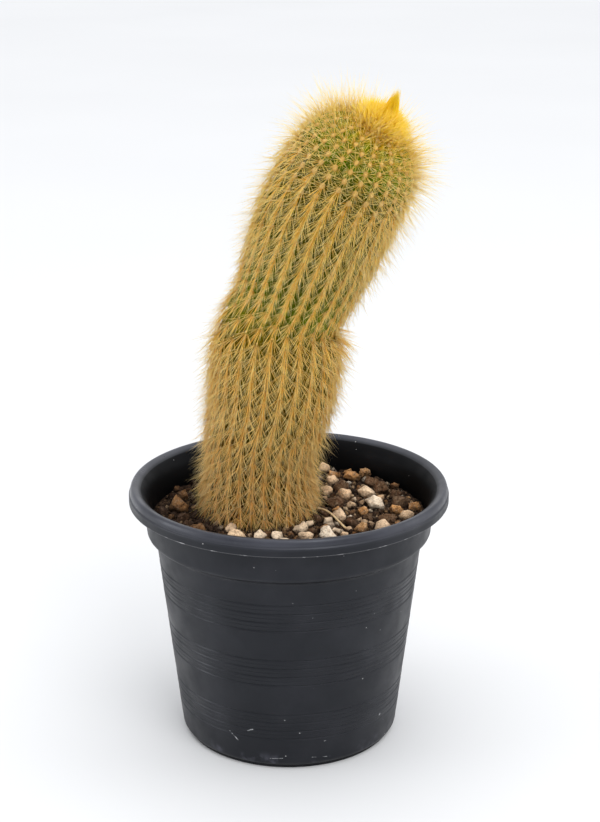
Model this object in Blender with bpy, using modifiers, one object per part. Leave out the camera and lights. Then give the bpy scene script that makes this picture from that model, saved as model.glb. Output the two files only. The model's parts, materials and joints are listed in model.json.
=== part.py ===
"""A leaning columnar cactus with yellow spines, in a black plastic nursery pot.

The pot stands on z = 0 with its axis on the world Z axis. The plant leans towards +X, and a little towards
-Y, which is the side it is seen from. All lengths are in metres.
"""
import math
import random

import bmesh
import bpy
from mathutils import Matrix, Vector

MM = 0.001
GAP = 0.3 * MM
MERGE = 0.00001

# Nursery pot: a thin moulding with a rolled rim, a collar and bands of turned grooves.
POT_SIDES = 32
POT_WALL = 1.3 * MM
RIM_RADIUS = 52.5 * MM
RIM_LIP_Z = 81.0 * MM
RIM_FOOT_Z = 80.5 * MM
COLLAR_RADIUS = 46.9 * MM
COLLAR_FOOT_Z = 70.3 * MM
WALL_TOP_RADIUS = 44.0 * MM
WALL_TOP_Z = 68.8 * MM
INSIDE_STEP_LIFT = 1.4 * MM
WALL_FOOT_RADIUS = 36.2 * MM
WALL_FOOT_Z = 2.4 * MM
FOOT_RADIUS = 34.7 * MM
FOOT_WIDTH = 2.0 * MM
FOOT_HEIGHT = 1.4 * MM
FLOOR_UNDER_Z = 2.0 * MM
FLOOR_TOP_Z = 3.5 * MM
FLOOR_EDGE_RADIUS = 34.0 * MM
INSIDE_CORNER_Z = 6.5 * MM
GROOVE_BAND_TOPS = (60.8 * MM, 40.9 * MM, 20.7 * MM)
GROOVES_IN_BAND = 4
GROOVE_PITCH = 3.05 * MM
GROOVE_DEPTH = 0.4 * MM
DRAIN_HOLES = 6
DRAIN_RADIUS = 3.5 * MM
DRAIN_CIRCLE = 24.0 * MM
DRAIN_SIDES = 12
RIM_ROLL = (  # (radius, height) in mm, from the collar's inside over the crown to the lip
    (46.3, 83.8),
    (48.0, 86.2),
    (50.0, 87.0),
    (51.7, 86.3),
    (52.5, 84.7),
)
RIM_UNDERSIDE = (  # the same, from behind the lip back to the collar's outside
    (51.2, 84.3),
    (50.0, 85.6),
    (48.3, 84.6),
    (46.9, 82.2),
)

# Potting mix and its loose stones.
SOIL_LEVEL = 75.5 * MM
SOIL_EDGE_DIP = 1.0 * MM
SOIL_RINGS = (0.0, 24.0 * MM, 36.0 * MM)
SOIL_STEP_LIFT = INSIDE_STEP_LIFT + 0.4 * MM
HOLE_TOP_Z = 81.5 * MM
HOLE_FLARE = 1.2 * MM
STONE_SEED = 11
STONE_TRIES = 5000
STONE_MOST = 80
STONE_SIZES = (2.9 * MM, 4.4 * MM)
STONE_FLATNESS = (1.0, 0.82, 0.66)
STONE_SPACING = 0.86
STONE_REACH = 1.1
STONE_CLEARANCE = 0.5 * MM
STONE_LIFT = 0.15
STONE_UNEVENNESS = (0.86, 1.08)
STONE_TILT = 0.5

# Stem: its centre line, radius there, and the depth of the valleys between its ribs, from the root end up.
RIBS = 26
RIB_DEPTH = 1.3 * MM
STEM_LINE = (
    (-9.9, 1.0, 62.0, 7.0, 0.0),
    (-9.9, 1.0, 65.0, 11.0, 0.0),
    (-9.9, 1.0, 70.0, 14.6, 0.0),
    (-9.9, 1.0, 75.8, 16.4, 0.0),
    (-9.9, 1.0, 80.0, 17.3, 0.6),
    (-9.9, 1.0, 85.5, 17.0, 1.0),
    (-9.6, 1.0, 92.5, 16.3, 1.0),
    (-8.6, 1.2, 103.0, 17.2, 1.0),
    (-6.2, 1.5, 113.2, 18.6, 1.0),
    (-4.6, 1.8, 123.4, 19.5, 1.0),
    (-3.6, 2.0, 131.9, 19.5, 1.0),
    (-2.8, 2.0, 138.7, 18.3, 1.0),
    (-1.5, 2.0, 143.2, 17.1, 0.9),
    (0.8, 2.0, 147.6, 17.3, 0.9),
    (2.8, 1.8, 152.3, 18.1, 1.0),
    (7.2, 1.0, 163.3, 19.4, 1.0),
    (11.3, -0.5, 173.8, 20.2, 1.0),
    (16.3, -3.0, 184.6, 20.0, 1.0),
    (20.0, -5.2, 191.0, 19.4, 1.0),
)
DOME_RINGS = 5
DOME_HEIGHT = 16.4 * MM
CROWN_SEAT_RADIUS = 6.0 * MM

# Spines of the stem: one stands for each areole's cluster, by turns a long centre one and a side one.
SPINE_SEED = 7
AREOLE_STEP = 5.0 * MM
AREOLE_FIRST_MARK = 19.0 * MM
AREOLE_TOP_CLEAR = 2.2 * MM
CROWDED_NEAR_CROWN = 9.0 * MM
SPINE_ROOT_RADIUS = 0.3 * MM
SPINE_ROOT_DEPTH = 2.4 * MM
SPINE_OFF_CREST = 0.55 * MM
CENTRE_SPINE = (6.5 * MM, 9.5 * MM)
SIDE_SPINE = (4.5 * MM, 6.0 * MM)
CENTRE_SWING = 0.2
SIDE_SWING = (0.5, 0.8)
SIDE_LIFT = 0.75
SIDE_COMB = 0.8
COMB_START_Z = 80.6 * MM
COMB_RISE = 14.0 * MM
COMB_LIMITS = (-0.1, 0.55)
CROWN_SPINE_GROWTH = 0.25

# Crown tuft: new golden spines on a low cap of wool.
TUFT_SEED = 5
TUFT_RADIUS = 5.5 * MM
TUFT_HEIGHT = 2.4 * MM
TUFT_SIDES = 16
TUFT_CAP = ((0.0, 1.0), (0.6, 0.8), (0.9, 0.4), (1.0, 0.0), (0.0, 0.0))  # shares of the radius and the height
TUFT_RINGS = ((0.0, 1), (1.4, 6), (2.7, 12), (3.9, 18), (4.9, 24))
TUFT_SPINE = (6.5 * MM, 9.5 * MM)
TUFT_SPREAD = math.radians(38)
TUFT_JITTER = 0.06
TUFT_ROOT_LIFT = 0.3 * MM
LOCK_ROOT = Vector((0.8, 0.0, 0.5)) * MM
LOCK_SIDES = 6
LOCK_LENGTH = 9.5 * MM
LOCK_RADIUS = 1.5 * MM
LOCK_LEAN = Vector((0.50, -0.10, 0.86))


def clear_scene():
    """Start from an empty scene."""
    for thing in list(bpy.data.objects):
        bpy.data.objects.remove(thing, do_unlink=True)


def new_collection(name):
    collection = bpy.data.collections.new(name)
    bpy.context.scene.collection.children.link(collection)
    return collection


def material(name, colour, roughness):
    """A plain Principled finish."""
    finish = bpy.data.materials.new(name)
    finish.use_nodes = True
    shader = finish.node_tree.nodes["Principled BSDF"]
    shader.inputs["Base Color"].default_value = (*colour, 1.0)
    shader.inputs["Roughness"].default_value = roughness
    shader.inputs["Metallic"].default_value = 0.0
    return finish


def object_from(mesh_builder, name, collection):
    """Put a finished bmesh in a new object."""
    mesh = bpy.data.meshes.new(name)
    mesh_builder.to_mesh(mesh)
    mesh_builder.free()
    thing = bpy.data.objects.new(name, mesh)
    collection.objects.link(thing)
    return thing


def settle(thing):
    """Turn an object's modifiers into its own mesh."""
    bpy.context.view_layer.update()
    graph = bpy.context.evaluated_depsgraph_get()
    mesh = bpy.data.meshes.new_from_object(thing.evaluated_get(graph))
    thing.modifiers.clear()
    thing.data = mesh


def turned(name, profile, sides, collection):
    """Turn an (r, z) profile round the Z axis with a Screw modifier."""
    builder = bmesh.new()
    points = [builder.verts.new((radius, 0.0, height)) for radius, height in profile]
    for start, end in zip(points, points[1:]):
        builder.edges.new((start, end))
    thing = object_from(builder, name, collection)
    screw = thing.modifiers.new("turn", "SCREW")
    screw.steps = sides
    screw.render_steps = sides
    screw.use_merge_vertices = True
    screw.merge_threshold = MERGE
    settle(thing)
    return thing


def combine(thing, collection, operation, solver="EXACT"):
    """Join to, or cut from, an object everything in a collection, then drop the collection."""
    boolean = thing.modifiers.new(operation.lower(), "BOOLEAN")
    boolean.operation = operation
    boolean.operand_type = "COLLECTION"
    boolean.collection = collection
    boolean.solver = solver
    settle(thing)
    for used in list(collection.objects):
        bpy.data.objects.remove(used, do_unlink=True)
    bpy.data.collections.remove(collection)


def finish_object(thing, finish, smooth_angle):
    """Give an object its material, and shade it smooth between its sharp edges."""
    thing.data.materials.clear()
    thing.data.materials.append(finish)
    thing.data.shade_smooth()
    thing.data.set_sharp_from_angle(angle=math.radians(smooth_angle))


def wall_radius(height):
    """Outer radius of the pot's tapered wall at a height."""
    slope = (WALL_TOP_RADIUS - WALL_FOOT_RADIUS) / (WALL_TOP_Z - WALL_FOOT_Z)
    return WALL_FOOT_RADIUS + slope * (height - WALL_FOOT_Z)


def groove_points():
    """The three bands of grooves down the outer wall, each groove a small lapped step."""
    points = []
    for band_top in GROOVE_BAND_TOPS:
        for number in range(GROOVES_IN_BAND):
            height = band_top - number * GROOVE_PITCH
            points.append((wall_radius(height), height + 0.3 * MM))
            points.append((wall_radius(height) - GROOVE_DEPTH, height))
        band_end = band_top - GROOVES_IN_BAND * GROOVE_PITCH
        points.append((wall_radius(band_end), band_end))
    return points


def rim_points():
    """The rolled rim, from the collar's inside over the top to under its lip."""
    points = [(COLLAR_RADIUS - POT_WALL, RIM_FOOT_Z)]
    points += [(radius * MM, height * MM) for radius, height in RIM_ROLL]
    points += [(RIM_RADIUS, RIM_LIP_Z), (RIM_RADIUS - POT_WALL, RIM_LIP_Z)]
    points += [(radius * MM, height * MM) for radius, height in RIM_UNDERSIDE]
    return points


def pot_inside_corner():
    """Where the inner wall meets the floor's rounding, as (r, z)."""
    return wall_radius(INSIDE_CORNER_Z) - POT_WALL, INSIDE_CORNER_Z


def make_pot(collection):
    """The pot: one profile up the inside, over the rim and down the outside, less its drain holes."""
    profile = [(0.0, FLOOR_TOP_Z), (FLOOR_EDGE_RADIUS, FLOOR_TOP_Z), pot_inside_corner()]
    profile.append((WALL_TOP_RADIUS - POT_WALL, WALL_TOP_Z + INSIDE_STEP_LIFT))
    profile.append((COLLAR_RADIUS - POT_WALL, COLLAR_FOOT_Z + INSIDE_STEP_LIFT))
    profile += rim_points()
    profile += [(COLLAR_RADIUS, COLLAR_FOOT_Z), (WALL_TOP_RADIUS, WALL_TOP_Z)]
    profile += groove_points()
    profile += [
        (WALL_FOOT_RADIUS, WALL_FOOT_Z),
        (WALL_FOOT_RADIUS - 0.6 * MM, FOOT_HEIGHT),
        (FOOT_RADIUS, FOOT_HEIGHT),
        (FOOT_RADIUS, 0.0),
        (FOOT_RADIUS - FOOT_WIDTH, 0.0),
        (FOOT_RADIUS - FOOT_WIDTH, FLOOR_UNDER_Z),
        (0.0, FLOOR_UNDER_Z),
    ]
    pot = turned("pot", profile, POT_SIDES, collection)
    drains = new_collection("drain_cutters")
    for number in range(DRAIN_HOLES):
        turn = math.tau * (number + 0.5) / DRAIN_HOLES
        builder = bmesh.new()
        centre = Vector((DRAIN_CIRCLE * math.cos(turn), DRAIN_CIRCLE * math.sin(turn), FLOOR_TOP_Z))
        bmesh.ops.create_cone(
            builder, cap_ends=True, segments=DRAIN_SIDES, radius1=DRAIN_RADIUS, radius2=DRAIN_RADIUS,
            depth=8.0 * MM, matrix=Matrix.Translation(centre))
        cutter = object_from(builder, "drain_cutter", drains)
        cutter.hide_render = True
        cutter.display_type = "WIRE"
    combine(pot, drains, "DIFFERENCE")
    finish_object(pot, material("black_plastic", (0.030, 0.032, 0.038), 0.42), 40)


def soil_height(radius):
    """Height of the potting mix, which dips a little towards the wall."""
    return SOIL_LEVEL - SOIL_EDGE_DIP * (radius / COLLAR_RADIUS) ** 2


def soil_edge_radius():
    return COLLAR_RADIUS - POT_WALL - GAP


def stem_hole_profile():
    """The stem's buried foot with the gap round it, as (r, z) from top to bottom."""
    around = math.cos(math.pi / RIBS)
    buried = [(row[3] * MM, row[2] * MM) for row in STEM_LINE if row[4] == 0.0]
    foot_radius, foot_z = buried[0]
    profile = [(0.0, HOLE_TOP_Z), ((buried[-1][0] + GAP) / around + HOLE_FLARE, HOLE_TOP_Z)]
    profile += [((radius + GAP) / around, height) for radius, height in reversed(buried)]
    profile.append(((foot_radius + GAP) / around, foot_z - GAP))
    profile.append((0.0, foot_z - GAP))
    return profile


def stone(rng, size):
    """A rounded pebble: an icosahedron pushed out of true, flattened, tilted and turned."""
    builder = bmesh.new()
    bmesh.ops.create_icosphere(builder, subdivisions=1, radius=size)
    for vert in builder.verts:
        vert.co *= rng.uniform(*STONE_UNEVENNESS)
    stretch = Matrix.Diagonal((*STONE_FLATNESS, 1.0))
    tilts = [Matrix.Rotation(rng.uniform(-STONE_TILT, STONE_TILT), 4, axis) for axis in "XY"]
    turn = Matrix.Rotation(rng.uniform(0.0, math.tau), 4, "Z")
    builder.transform(turn @ tilts[0] @ tilts[1] @ stretch)
    return builder


def stone_places(rng):
    """Scatter stones over the soil, clear of the stem and the wall, as (x, y, size)."""
    stem_x, stem_y = STEM_LINE[3][0] * MM, STEM_LINE[3][1] * MM
    stem_keep_out = STEM_LINE[4][3] * MM + STONE_CLEARANCE
    placed = []
    for attempt in range(STONE_TRIES):
        size = rng.uniform(*STONE_SIZES)
        if attempt > STONE_TRIES // 2:
            size = STONE_SIZES[0]
        turn = rng.uniform(0.0, math.tau)
        out = (soil_edge_radius() - STONE_REACH * size) * math.sqrt(rng.uniform(0.0, 1.0))
        x, y = out * math.cos(turn), out * math.sin(turn)
        if math.hypot(x - stem_x, y - stem_y) < stem_keep_out + STONE_REACH * size:
            continue
        if any(math.hypot(x - px, y - py) < STONE_SPACING * (size + ps) for px, py, ps in placed):
            continue
        placed.append((x, y, size))
        if len(placed) == STONE_MOST:
            break
    return placed


def make_soil(collection):
    """The potting mix: it fills the pot to below the rim, with a hole for the stem and stones on top."""
    corner_radius, corner_z = pot_inside_corner()
    profile = [(radius, soil_height(radius)) for radius in SOIL_RINGS]
    profile += [
        (soil_edge_radius(), soil_height(soil_edge_radius())),
        (soil_edge_radius(), COLLAR_FOOT_Z + SOIL_STEP_LIFT),
        (WALL_TOP_RADIUS - POT_WALL - GAP, WALL_TOP_Z + SOIL_STEP_LIFT),
        (corner_radius - GAP, corner_z + GAP),
        (FLOOR_EDGE_RADIUS - GAP, FLOOR_TOP_Z + GAP),
        (0.0, FLOOR_TOP_Z + GAP),
    ]
    soil = turned("soil", profile, POT_SIDES, collection)
    cutters = new_collection("stem_hole_cutter")
    hole = turned("stem_hole", stem_hole_profile(), RIBS, cutters)
    hole.location = (STEM_LINE[0][0] * MM, STEM_LINE[0][1] * MM, 0.0)
    hole.hide_render = True
    hole.display_type = "WIRE"
    combine(soil, cutters, "DIFFERENCE")
    rng = random.Random(STONE_SEED)
    stones = new_collection("stones")
    for x, y, size in stone_places(rng):
        pebble = object_from(stone(rng, size), "stone", stones)
        pebble.location = (x, y, soil_height(math.hypot(x, y)) + STONE_LIFT * size)
    combine(soil, stones, "UNION")
    finish_object(soil, material("potting_mix", (0.32, 0.22, 0.14), 0.95), 30)


class Stem:
    """The stem's skin as a formula: a ribbed section carried along a bent centre line, with a domed head."""

    def __init__(self):
        rows = [(Vector(row[:3]) * MM, row[3] * MM, row[4] * RIB_DEPTH) for row in STEM_LINE]
        self.rows = rows
        self.marks = [0.0]
        for lower, upper in zip(rows, rows[1:]):
            self.marks.append(self.marks[-1] + (upper[0] - lower[0]).length)
        self.side_length = self.marks[-1]
        self.dome_axis = (self.centre(self.side_length) - self.centre(self.side_length - MM)).normalized()
        self.dome_end = math.acos(CROWN_SEAT_RADIUS / rows[-1][1])

    def blend(self, mark, pick):
        """A smooth value along the centre line, through the rows' own values."""
        mark = min(max(mark, 0.0), self.side_length)
        index = max(i for i, value in enumerate(self.marks[:-1]) if value <= mark)
        span = self.marks[index + 1] - self.marks[index]
        part = (mark - self.marks[index]) / span
        lower, upper = pick(self.rows[index]), pick(self.rows[index + 1])
        before = pick(self.rows[max(index - 1, 0)])
        after = pick(self.rows[min(index + 2, len(self.rows) - 1)])
        before_span = span if index == 0 else self.marks[index] - self.marks[index - 1]
        after_span = span if index + 2 == len(self.rows) else self.marks[index + 2] - self.marks[index + 1]
        start = (upper - before) * (span / (span + before_span))
        end = (after - lower) * (span / (span + after_span))
        if index == 0:
            start = upper - lower
        if index + 2 == len(self.rows):
            end = upper - lower
        p2, p3 = part * part, part ** 3
        return (lower * (2 * p3 - 3 * p2 + 1) + start * (p3 - 2 * p2 + part)
                + upper * (3 * p2 - 2 * p3) + end * (p3 - p2))

    def centre(self, mark):
        return self.blend(mark, lambda row: row[0])

    def section(self, mark):
        """Centre, the two directions across, radius and rib depth at a distance along the stem.

        Past the end of the centre line the distance runs over the dome, up to the crown's seat.
        """
        over = max(mark - self.side_length, 0.0)
        radius = self.blend(mark, lambda row: row[1])
        depth = self.blend(mark, lambda row: row[2])
        if over > 0.0:
            axis = self.dome_axis
            angle = min(over / radius, self.dome_end)
            centre = self.centre(self.side_length) + axis * (DOME_HEIGHT * math.sin(angle))
            depth *= math.cos(angle) ** 0.5
            radius *= math.cos(angle)
        else:
            low, high = max(mark - MM, 0.0), min(mark + MM, self.side_length)
            axis = (self.centre(high) - self.centre(low)).normalized()
            centre = self.centre(mark)
        across = Vector((0.0, 1.0, 0.0)).cross(axis).normalized()
        return centre, across, axis.cross(across), axis, radius, depth

    def skin(self, mark, turn):
        """A point of the skin: turn 0 is a rib's crest on the +X side."""
        centre, across, beside, axis, radius, depth = self.section(mark)
        valley = 0.5 - 0.5 * math.cos(RIBS * turn)
        out = across * math.cos(turn) + beside * math.sin(turn)
        return centre + out * (radius - depth * valley)

    def length(self):
        return self.side_length + self.rows[-1][1] * self.dome_end

    def frame(self, mark, turn):
        """Outward, upward and sideways directions on a rib's crest."""
        step = 0.5 * MM
        upward = (self.skin(mark + step, turn) - self.skin(mark - step, turn)).normalized()
        centre, across, beside, axis, radius, depth = self.section(mark)
        sideways = beside * math.cos(turn) - across * math.sin(turn)
        outward = sideways.cross(upward).normalized()
        return outward, upward, sideways


def stem_marks(stem):
    """Distances along the stem at which its sections are drawn."""
    dome = stem.length() - stem.side_length
    return stem.marks + [stem.side_length + dome * (number + 1) / DOME_RINGS for number in range(DOME_RINGS)]


def stem_body(stem, collection):
    """Loft the ribbed body: a crest and a valley for each rib on every section, and flat ends."""
    builder = bmesh.new()
    around = 2 * RIBS
    rings = []
    for mark in stem_marks(stem):
        turns = (math.tau * number / around for number in range(around))
        rings.append([builder.verts.new(stem.skin(mark, turn)) for turn in turns])
    for lower, upper in zip(rings, rings[1:]):
        for number in range(around):
            following = (number + 1) % around
            builder.faces.new((lower[number], lower[following], upper[following], upper[number]))
    builder.faces.new(list(reversed(rings[0])))
    builder.faces.new(rings[-1])
    return object_from(builder, "stem", collection)


def add_needle(builder, root, direction, length, radius, sides=3):
    """A pointed spine as a slim pyramid with a closed root."""
    turn = direction.to_track_quat("Z", "Y").to_matrix().to_4x4()
    place = Matrix.Translation(root + direction * (length / 2)) @ turn
    bmesh.ops.create_cone(
        builder, cap_ends=True, segments=sides, radius1=radius, radius2=0.0, depth=length, matrix=place)


def spine_direction(stem, rng, mark, turn, kind):
    """Which way an areole's spine points, and how long it is.

    Down the column the spines comb downwards. Round the head they stand out and fan away from the crown.
    Just above the soil they lift, clear of the stones.
    """
    outward, upward, sideways = stem.frame(mark, turn)
    over_dome = max(mark - stem.side_length, 0.0) / (stem.length() - stem.side_length)
    comb = (stem.skin(mark, turn).z - COMB_START_Z) / COMB_RISE
    comb = min(max(comb, COMB_LIMITS[0]), COMB_LIMITS[1]) * (1.0 - 0.5 * over_dome)
    if kind == 0:
        length = rng.uniform(*CENTRE_SPINE)
        direction = outward + sideways * rng.uniform(-CENTRE_SWING, CENTRE_SWING) - upward * comb
    else:
        side = 1.0 if kind == 1 else -1.0
        length = rng.uniform(*SIDE_SPINE)
        direction = outward * SIDE_LIFT + sideways * side * rng.uniform(*SIDE_SWING) - upward * comb * SIDE_COMB
    return direction.normalized(), length * (1.0 + CROWN_SPINE_GROWTH * over_dome)


def spine_groups(stem):
    """One mesh of spines for each rib and kind. Those in a mesh are too far apart to meet."""
    rng = random.Random(SPINE_SEED)
    last = stem.length() - AREOLE_TOP_CLEAR
    rows = int((last - AREOLE_FIRST_MARK) / AREOLE_STEP)
    for rib in range(RIBS):
        turn = math.tau * rib / RIBS
        groups = [bmesh.new() for kind in range(3)]
        for row in range(rows + 1):
            mark = AREOLE_FIRST_MARK + AREOLE_STEP * (row + 0.5 * (rib % 2))
            crowded = mark > stem.length() - CROWDED_NEAR_CROWN and rib % 2
            if mark > last or crowded:
                continue
            kind = (row + 2 * rib) % 3
            direction, length = spine_direction(stem, rng, mark, turn, kind)
            beside = stem.frame(mark, turn)[2] * (SPINE_OFF_CREST if (row + rib) % 2 else -SPINE_OFF_CREST)
            root = stem.skin(mark, turn) + beside - direction * SPINE_ROOT_DEPTH
            add_needle(groups[kind], root, direction, length + SPINE_ROOT_DEPTH, SPINE_ROOT_RADIUS)
        yield from groups


def make_stem(collection, stem):
    """The stem with its spines fused on. MANIFOLD does hundreds of small parts in seconds."""
    body = stem_body(stem, collection)
    spines = new_collection("stem_spines")
    for builder in spine_groups(stem):
        object_from(builder, "spines_of_a_rib", spines)
    combine(body, spines, "UNION", "MANIFOLD")
    finish_object(body, material("green_skin_and_straw_spines", (0.42, 0.36, 0.12), 0.7), 35)


def make_crown_tuft(collection, stem):
    """The golden tuft on the growing point: a low woolly cap with spines fanning up and one pointed lock."""
    rng = random.Random(TUFT_SEED)
    axis = stem.dome_axis
    seat = stem.section(stem.length())[0] + axis * GAP
    stand = Matrix.Translation(seat) @ axis.to_track_quat("Z", "Y").to_matrix().to_4x4()
    profile = [(radius * TUFT_RADIUS, height * TUFT_HEIGHT) for radius, height in TUFT_CAP]
    tuft = turned("crown_tuft", profile, TUFT_SIDES, collection)
    tuft.data.transform(stand)
    needles = new_collection("tuft_spines")
    for ring_radius, count in TUFT_RINGS:
        for number in range(count):
            turn = math.tau * (number + rng.uniform(-0.25, 0.25)) / count
            out = Vector((math.cos(turn), math.sin(turn), 0.0))
            reach = ring_radius * MM / TUFT_RADIUS
            lean = TUFT_SPREAD * reach + rng.uniform(-TUFT_JITTER, TUFT_JITTER)
            direction = (stand.to_3x3() @ (out * math.sin(lean) + Vector((0, 0, math.cos(lean))))).normalized()
            foot = stand @ (out * ring_radius * MM + Vector((0.0, 0.0, TUFT_ROOT_LIFT)))
            length = rng.uniform(*TUFT_SPINE) + TUFT_HEIGHT * (1.0 - reach)
            builder = bmesh.new()
            add_needle(builder, foot, direction, length, SPINE_ROOT_RADIUS)
            object_from(builder, "tuft_spine", needles)
    builder = bmesh.new()
    lock_length = LOCK_LENGTH + TUFT_HEIGHT
    add_needle(builder, stand @ LOCK_ROOT, LOCK_LEAN.normalized(), lock_length, LOCK_RADIUS, LOCK_SIDES)
    object_from(builder, "pointed_lock", needles)
    combine(tuft, needles, "UNION", "MANIFOLD")
    finish_object(tuft, material("golden_spines", (0.83, 0.50, 0.04), 0.6), 35)


clear_scene()
plant = new_collection("potted_haageocereus")
make_pot(plant)
make_soil(plant)
stem = Stem()
make_stem(plant, stem)
make_crown_tuft(plant, stem)
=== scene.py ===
import json
import math
import random

import bmesh
import bpy
import numpy as np
from mathutils import Matrix, Vector, noise

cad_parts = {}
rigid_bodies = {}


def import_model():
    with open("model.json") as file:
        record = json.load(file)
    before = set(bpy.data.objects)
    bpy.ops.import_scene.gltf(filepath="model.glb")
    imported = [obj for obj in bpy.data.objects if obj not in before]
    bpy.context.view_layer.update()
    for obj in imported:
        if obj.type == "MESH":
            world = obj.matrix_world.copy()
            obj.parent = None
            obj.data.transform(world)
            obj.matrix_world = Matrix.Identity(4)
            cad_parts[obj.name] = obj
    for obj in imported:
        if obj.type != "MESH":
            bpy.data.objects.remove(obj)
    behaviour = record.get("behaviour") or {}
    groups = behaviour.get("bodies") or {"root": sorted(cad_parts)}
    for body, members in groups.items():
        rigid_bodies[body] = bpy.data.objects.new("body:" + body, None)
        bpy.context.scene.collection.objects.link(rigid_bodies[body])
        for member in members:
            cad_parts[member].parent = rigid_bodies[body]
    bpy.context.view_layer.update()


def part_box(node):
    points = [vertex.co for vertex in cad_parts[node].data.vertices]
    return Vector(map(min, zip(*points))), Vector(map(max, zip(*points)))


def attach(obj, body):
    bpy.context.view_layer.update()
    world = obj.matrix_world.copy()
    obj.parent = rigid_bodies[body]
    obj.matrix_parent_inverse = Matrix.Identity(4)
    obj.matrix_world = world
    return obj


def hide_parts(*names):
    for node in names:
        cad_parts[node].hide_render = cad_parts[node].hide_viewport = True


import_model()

# Nursery pot
# The real pot is one thin moulding of black plastic, made in one shot: a rolled rim over an upright collar,
# a tapered wall with three bands of fine grooves, and an inset foot ring round a floor with drain holes. The
# mould leaves a faint flash line along the lip, and use leaves a film of dust and a few scuffs. The colour
# also carries painted highlight on the lip line, painted sheen in the rim's wear, and painted shade inside
# and at the foot.
MM = 0.001
POT_TURNING_STEPS = 192
RIM_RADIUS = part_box("pot")[1].x
POT_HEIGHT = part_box("pot")[1].z
POT_WALL = 1.3 * MM
RIM_CROWN_RADIUS = 51.0 * MM
RIM_CROWN_DROP = 0.6 * MM
RIM_LIP_Z = 81.0 * MM
RIM_LIP_TOP_Z = 83.8 * MM
RIM_STEP = 0.4 * MM
# Corners up the rim's throat, and in and down its underside: radius, height and rounding in mm.
RIM_THROAT = ((45.6, 78.0, 2.0), (46.5, 82.4, 1.6), (48.3, 85.0, 1.2))
RIM_UNDERSIDE = (
    (51.2, 84.2, 0.8), (50.2, 85.0, 0.8), (48.6, 83.6, 0.8), (47.5, 82.0, 0.8), (46.9, 79.0, 1.2))
COLLAR_RADIUS = 46.9 * MM
COLLAR_FOOT_Z = 70.3 * MM
WALL_TOP_RADIUS = 44.0 * MM
WALL_TOP_Z = 68.8 * MM
INSIDE_STEP_LIFT = 1.4 * MM
WALL_FOOT_RADIUS = 36.2 * MM
WALL_FOOT_Z = 2.4 * MM
FOOT_RADIUS = 34.7 * MM
FOOT_WIDTH = 2.0 * MM
FOOT_HEIGHT = 1.4 * MM
FLOOR_UNDER_Z = 2.0 * MM
FLOOR_TOP_Z = 3.5 * MM
GROOVE_BAND_TOPS = (60.8 * MM, 40.9 * MM, 20.7 * MM)
GROOVES_IN_BAND = 4
GROOVE_PITCH = 3.05 * MM
GROOVE_DEPTH = 0.24 * MM
FAINT_GROOVE_DEPTH = 0.08 * MM
DRAIN_HOLES = 6
DRAIN_RADIUS = 3.5 * MM
DRAIN_CIRCLE = 24.0 * MM
DRAIN_CUT = 8.0 * MM

# Scuffs on the outside, each as its two ends (degrees round from the front, and height in mm) and its width.
SCUFFS = (
    ((-20.6, 13.7), (-18.0, 14.4), 0.50), ((-31.0, 12.0), (-27.0, 9.7), 0.22),
    ((-27.8, 10.2), (-26.4, 9.3), 0.45), ((18.0, 10.0), (18.8, 10.1), 0.35),
    ((52.5, 12.8), (53.4, 13.0), 0.35), ((-9.5, 4.0), (-3.0, 4.3), 0.22), ((12.0, 4.3), (20.0, 3.8), 0.20))


def find_socket(sockets, key):
    """The socket of a name or at a place, among those that are in use."""
    shown = [socket for socket in sockets if socket.enabled]
    return shown[key] if isinstance(key, int) else next(s for s in shown if s.name == key)


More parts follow.
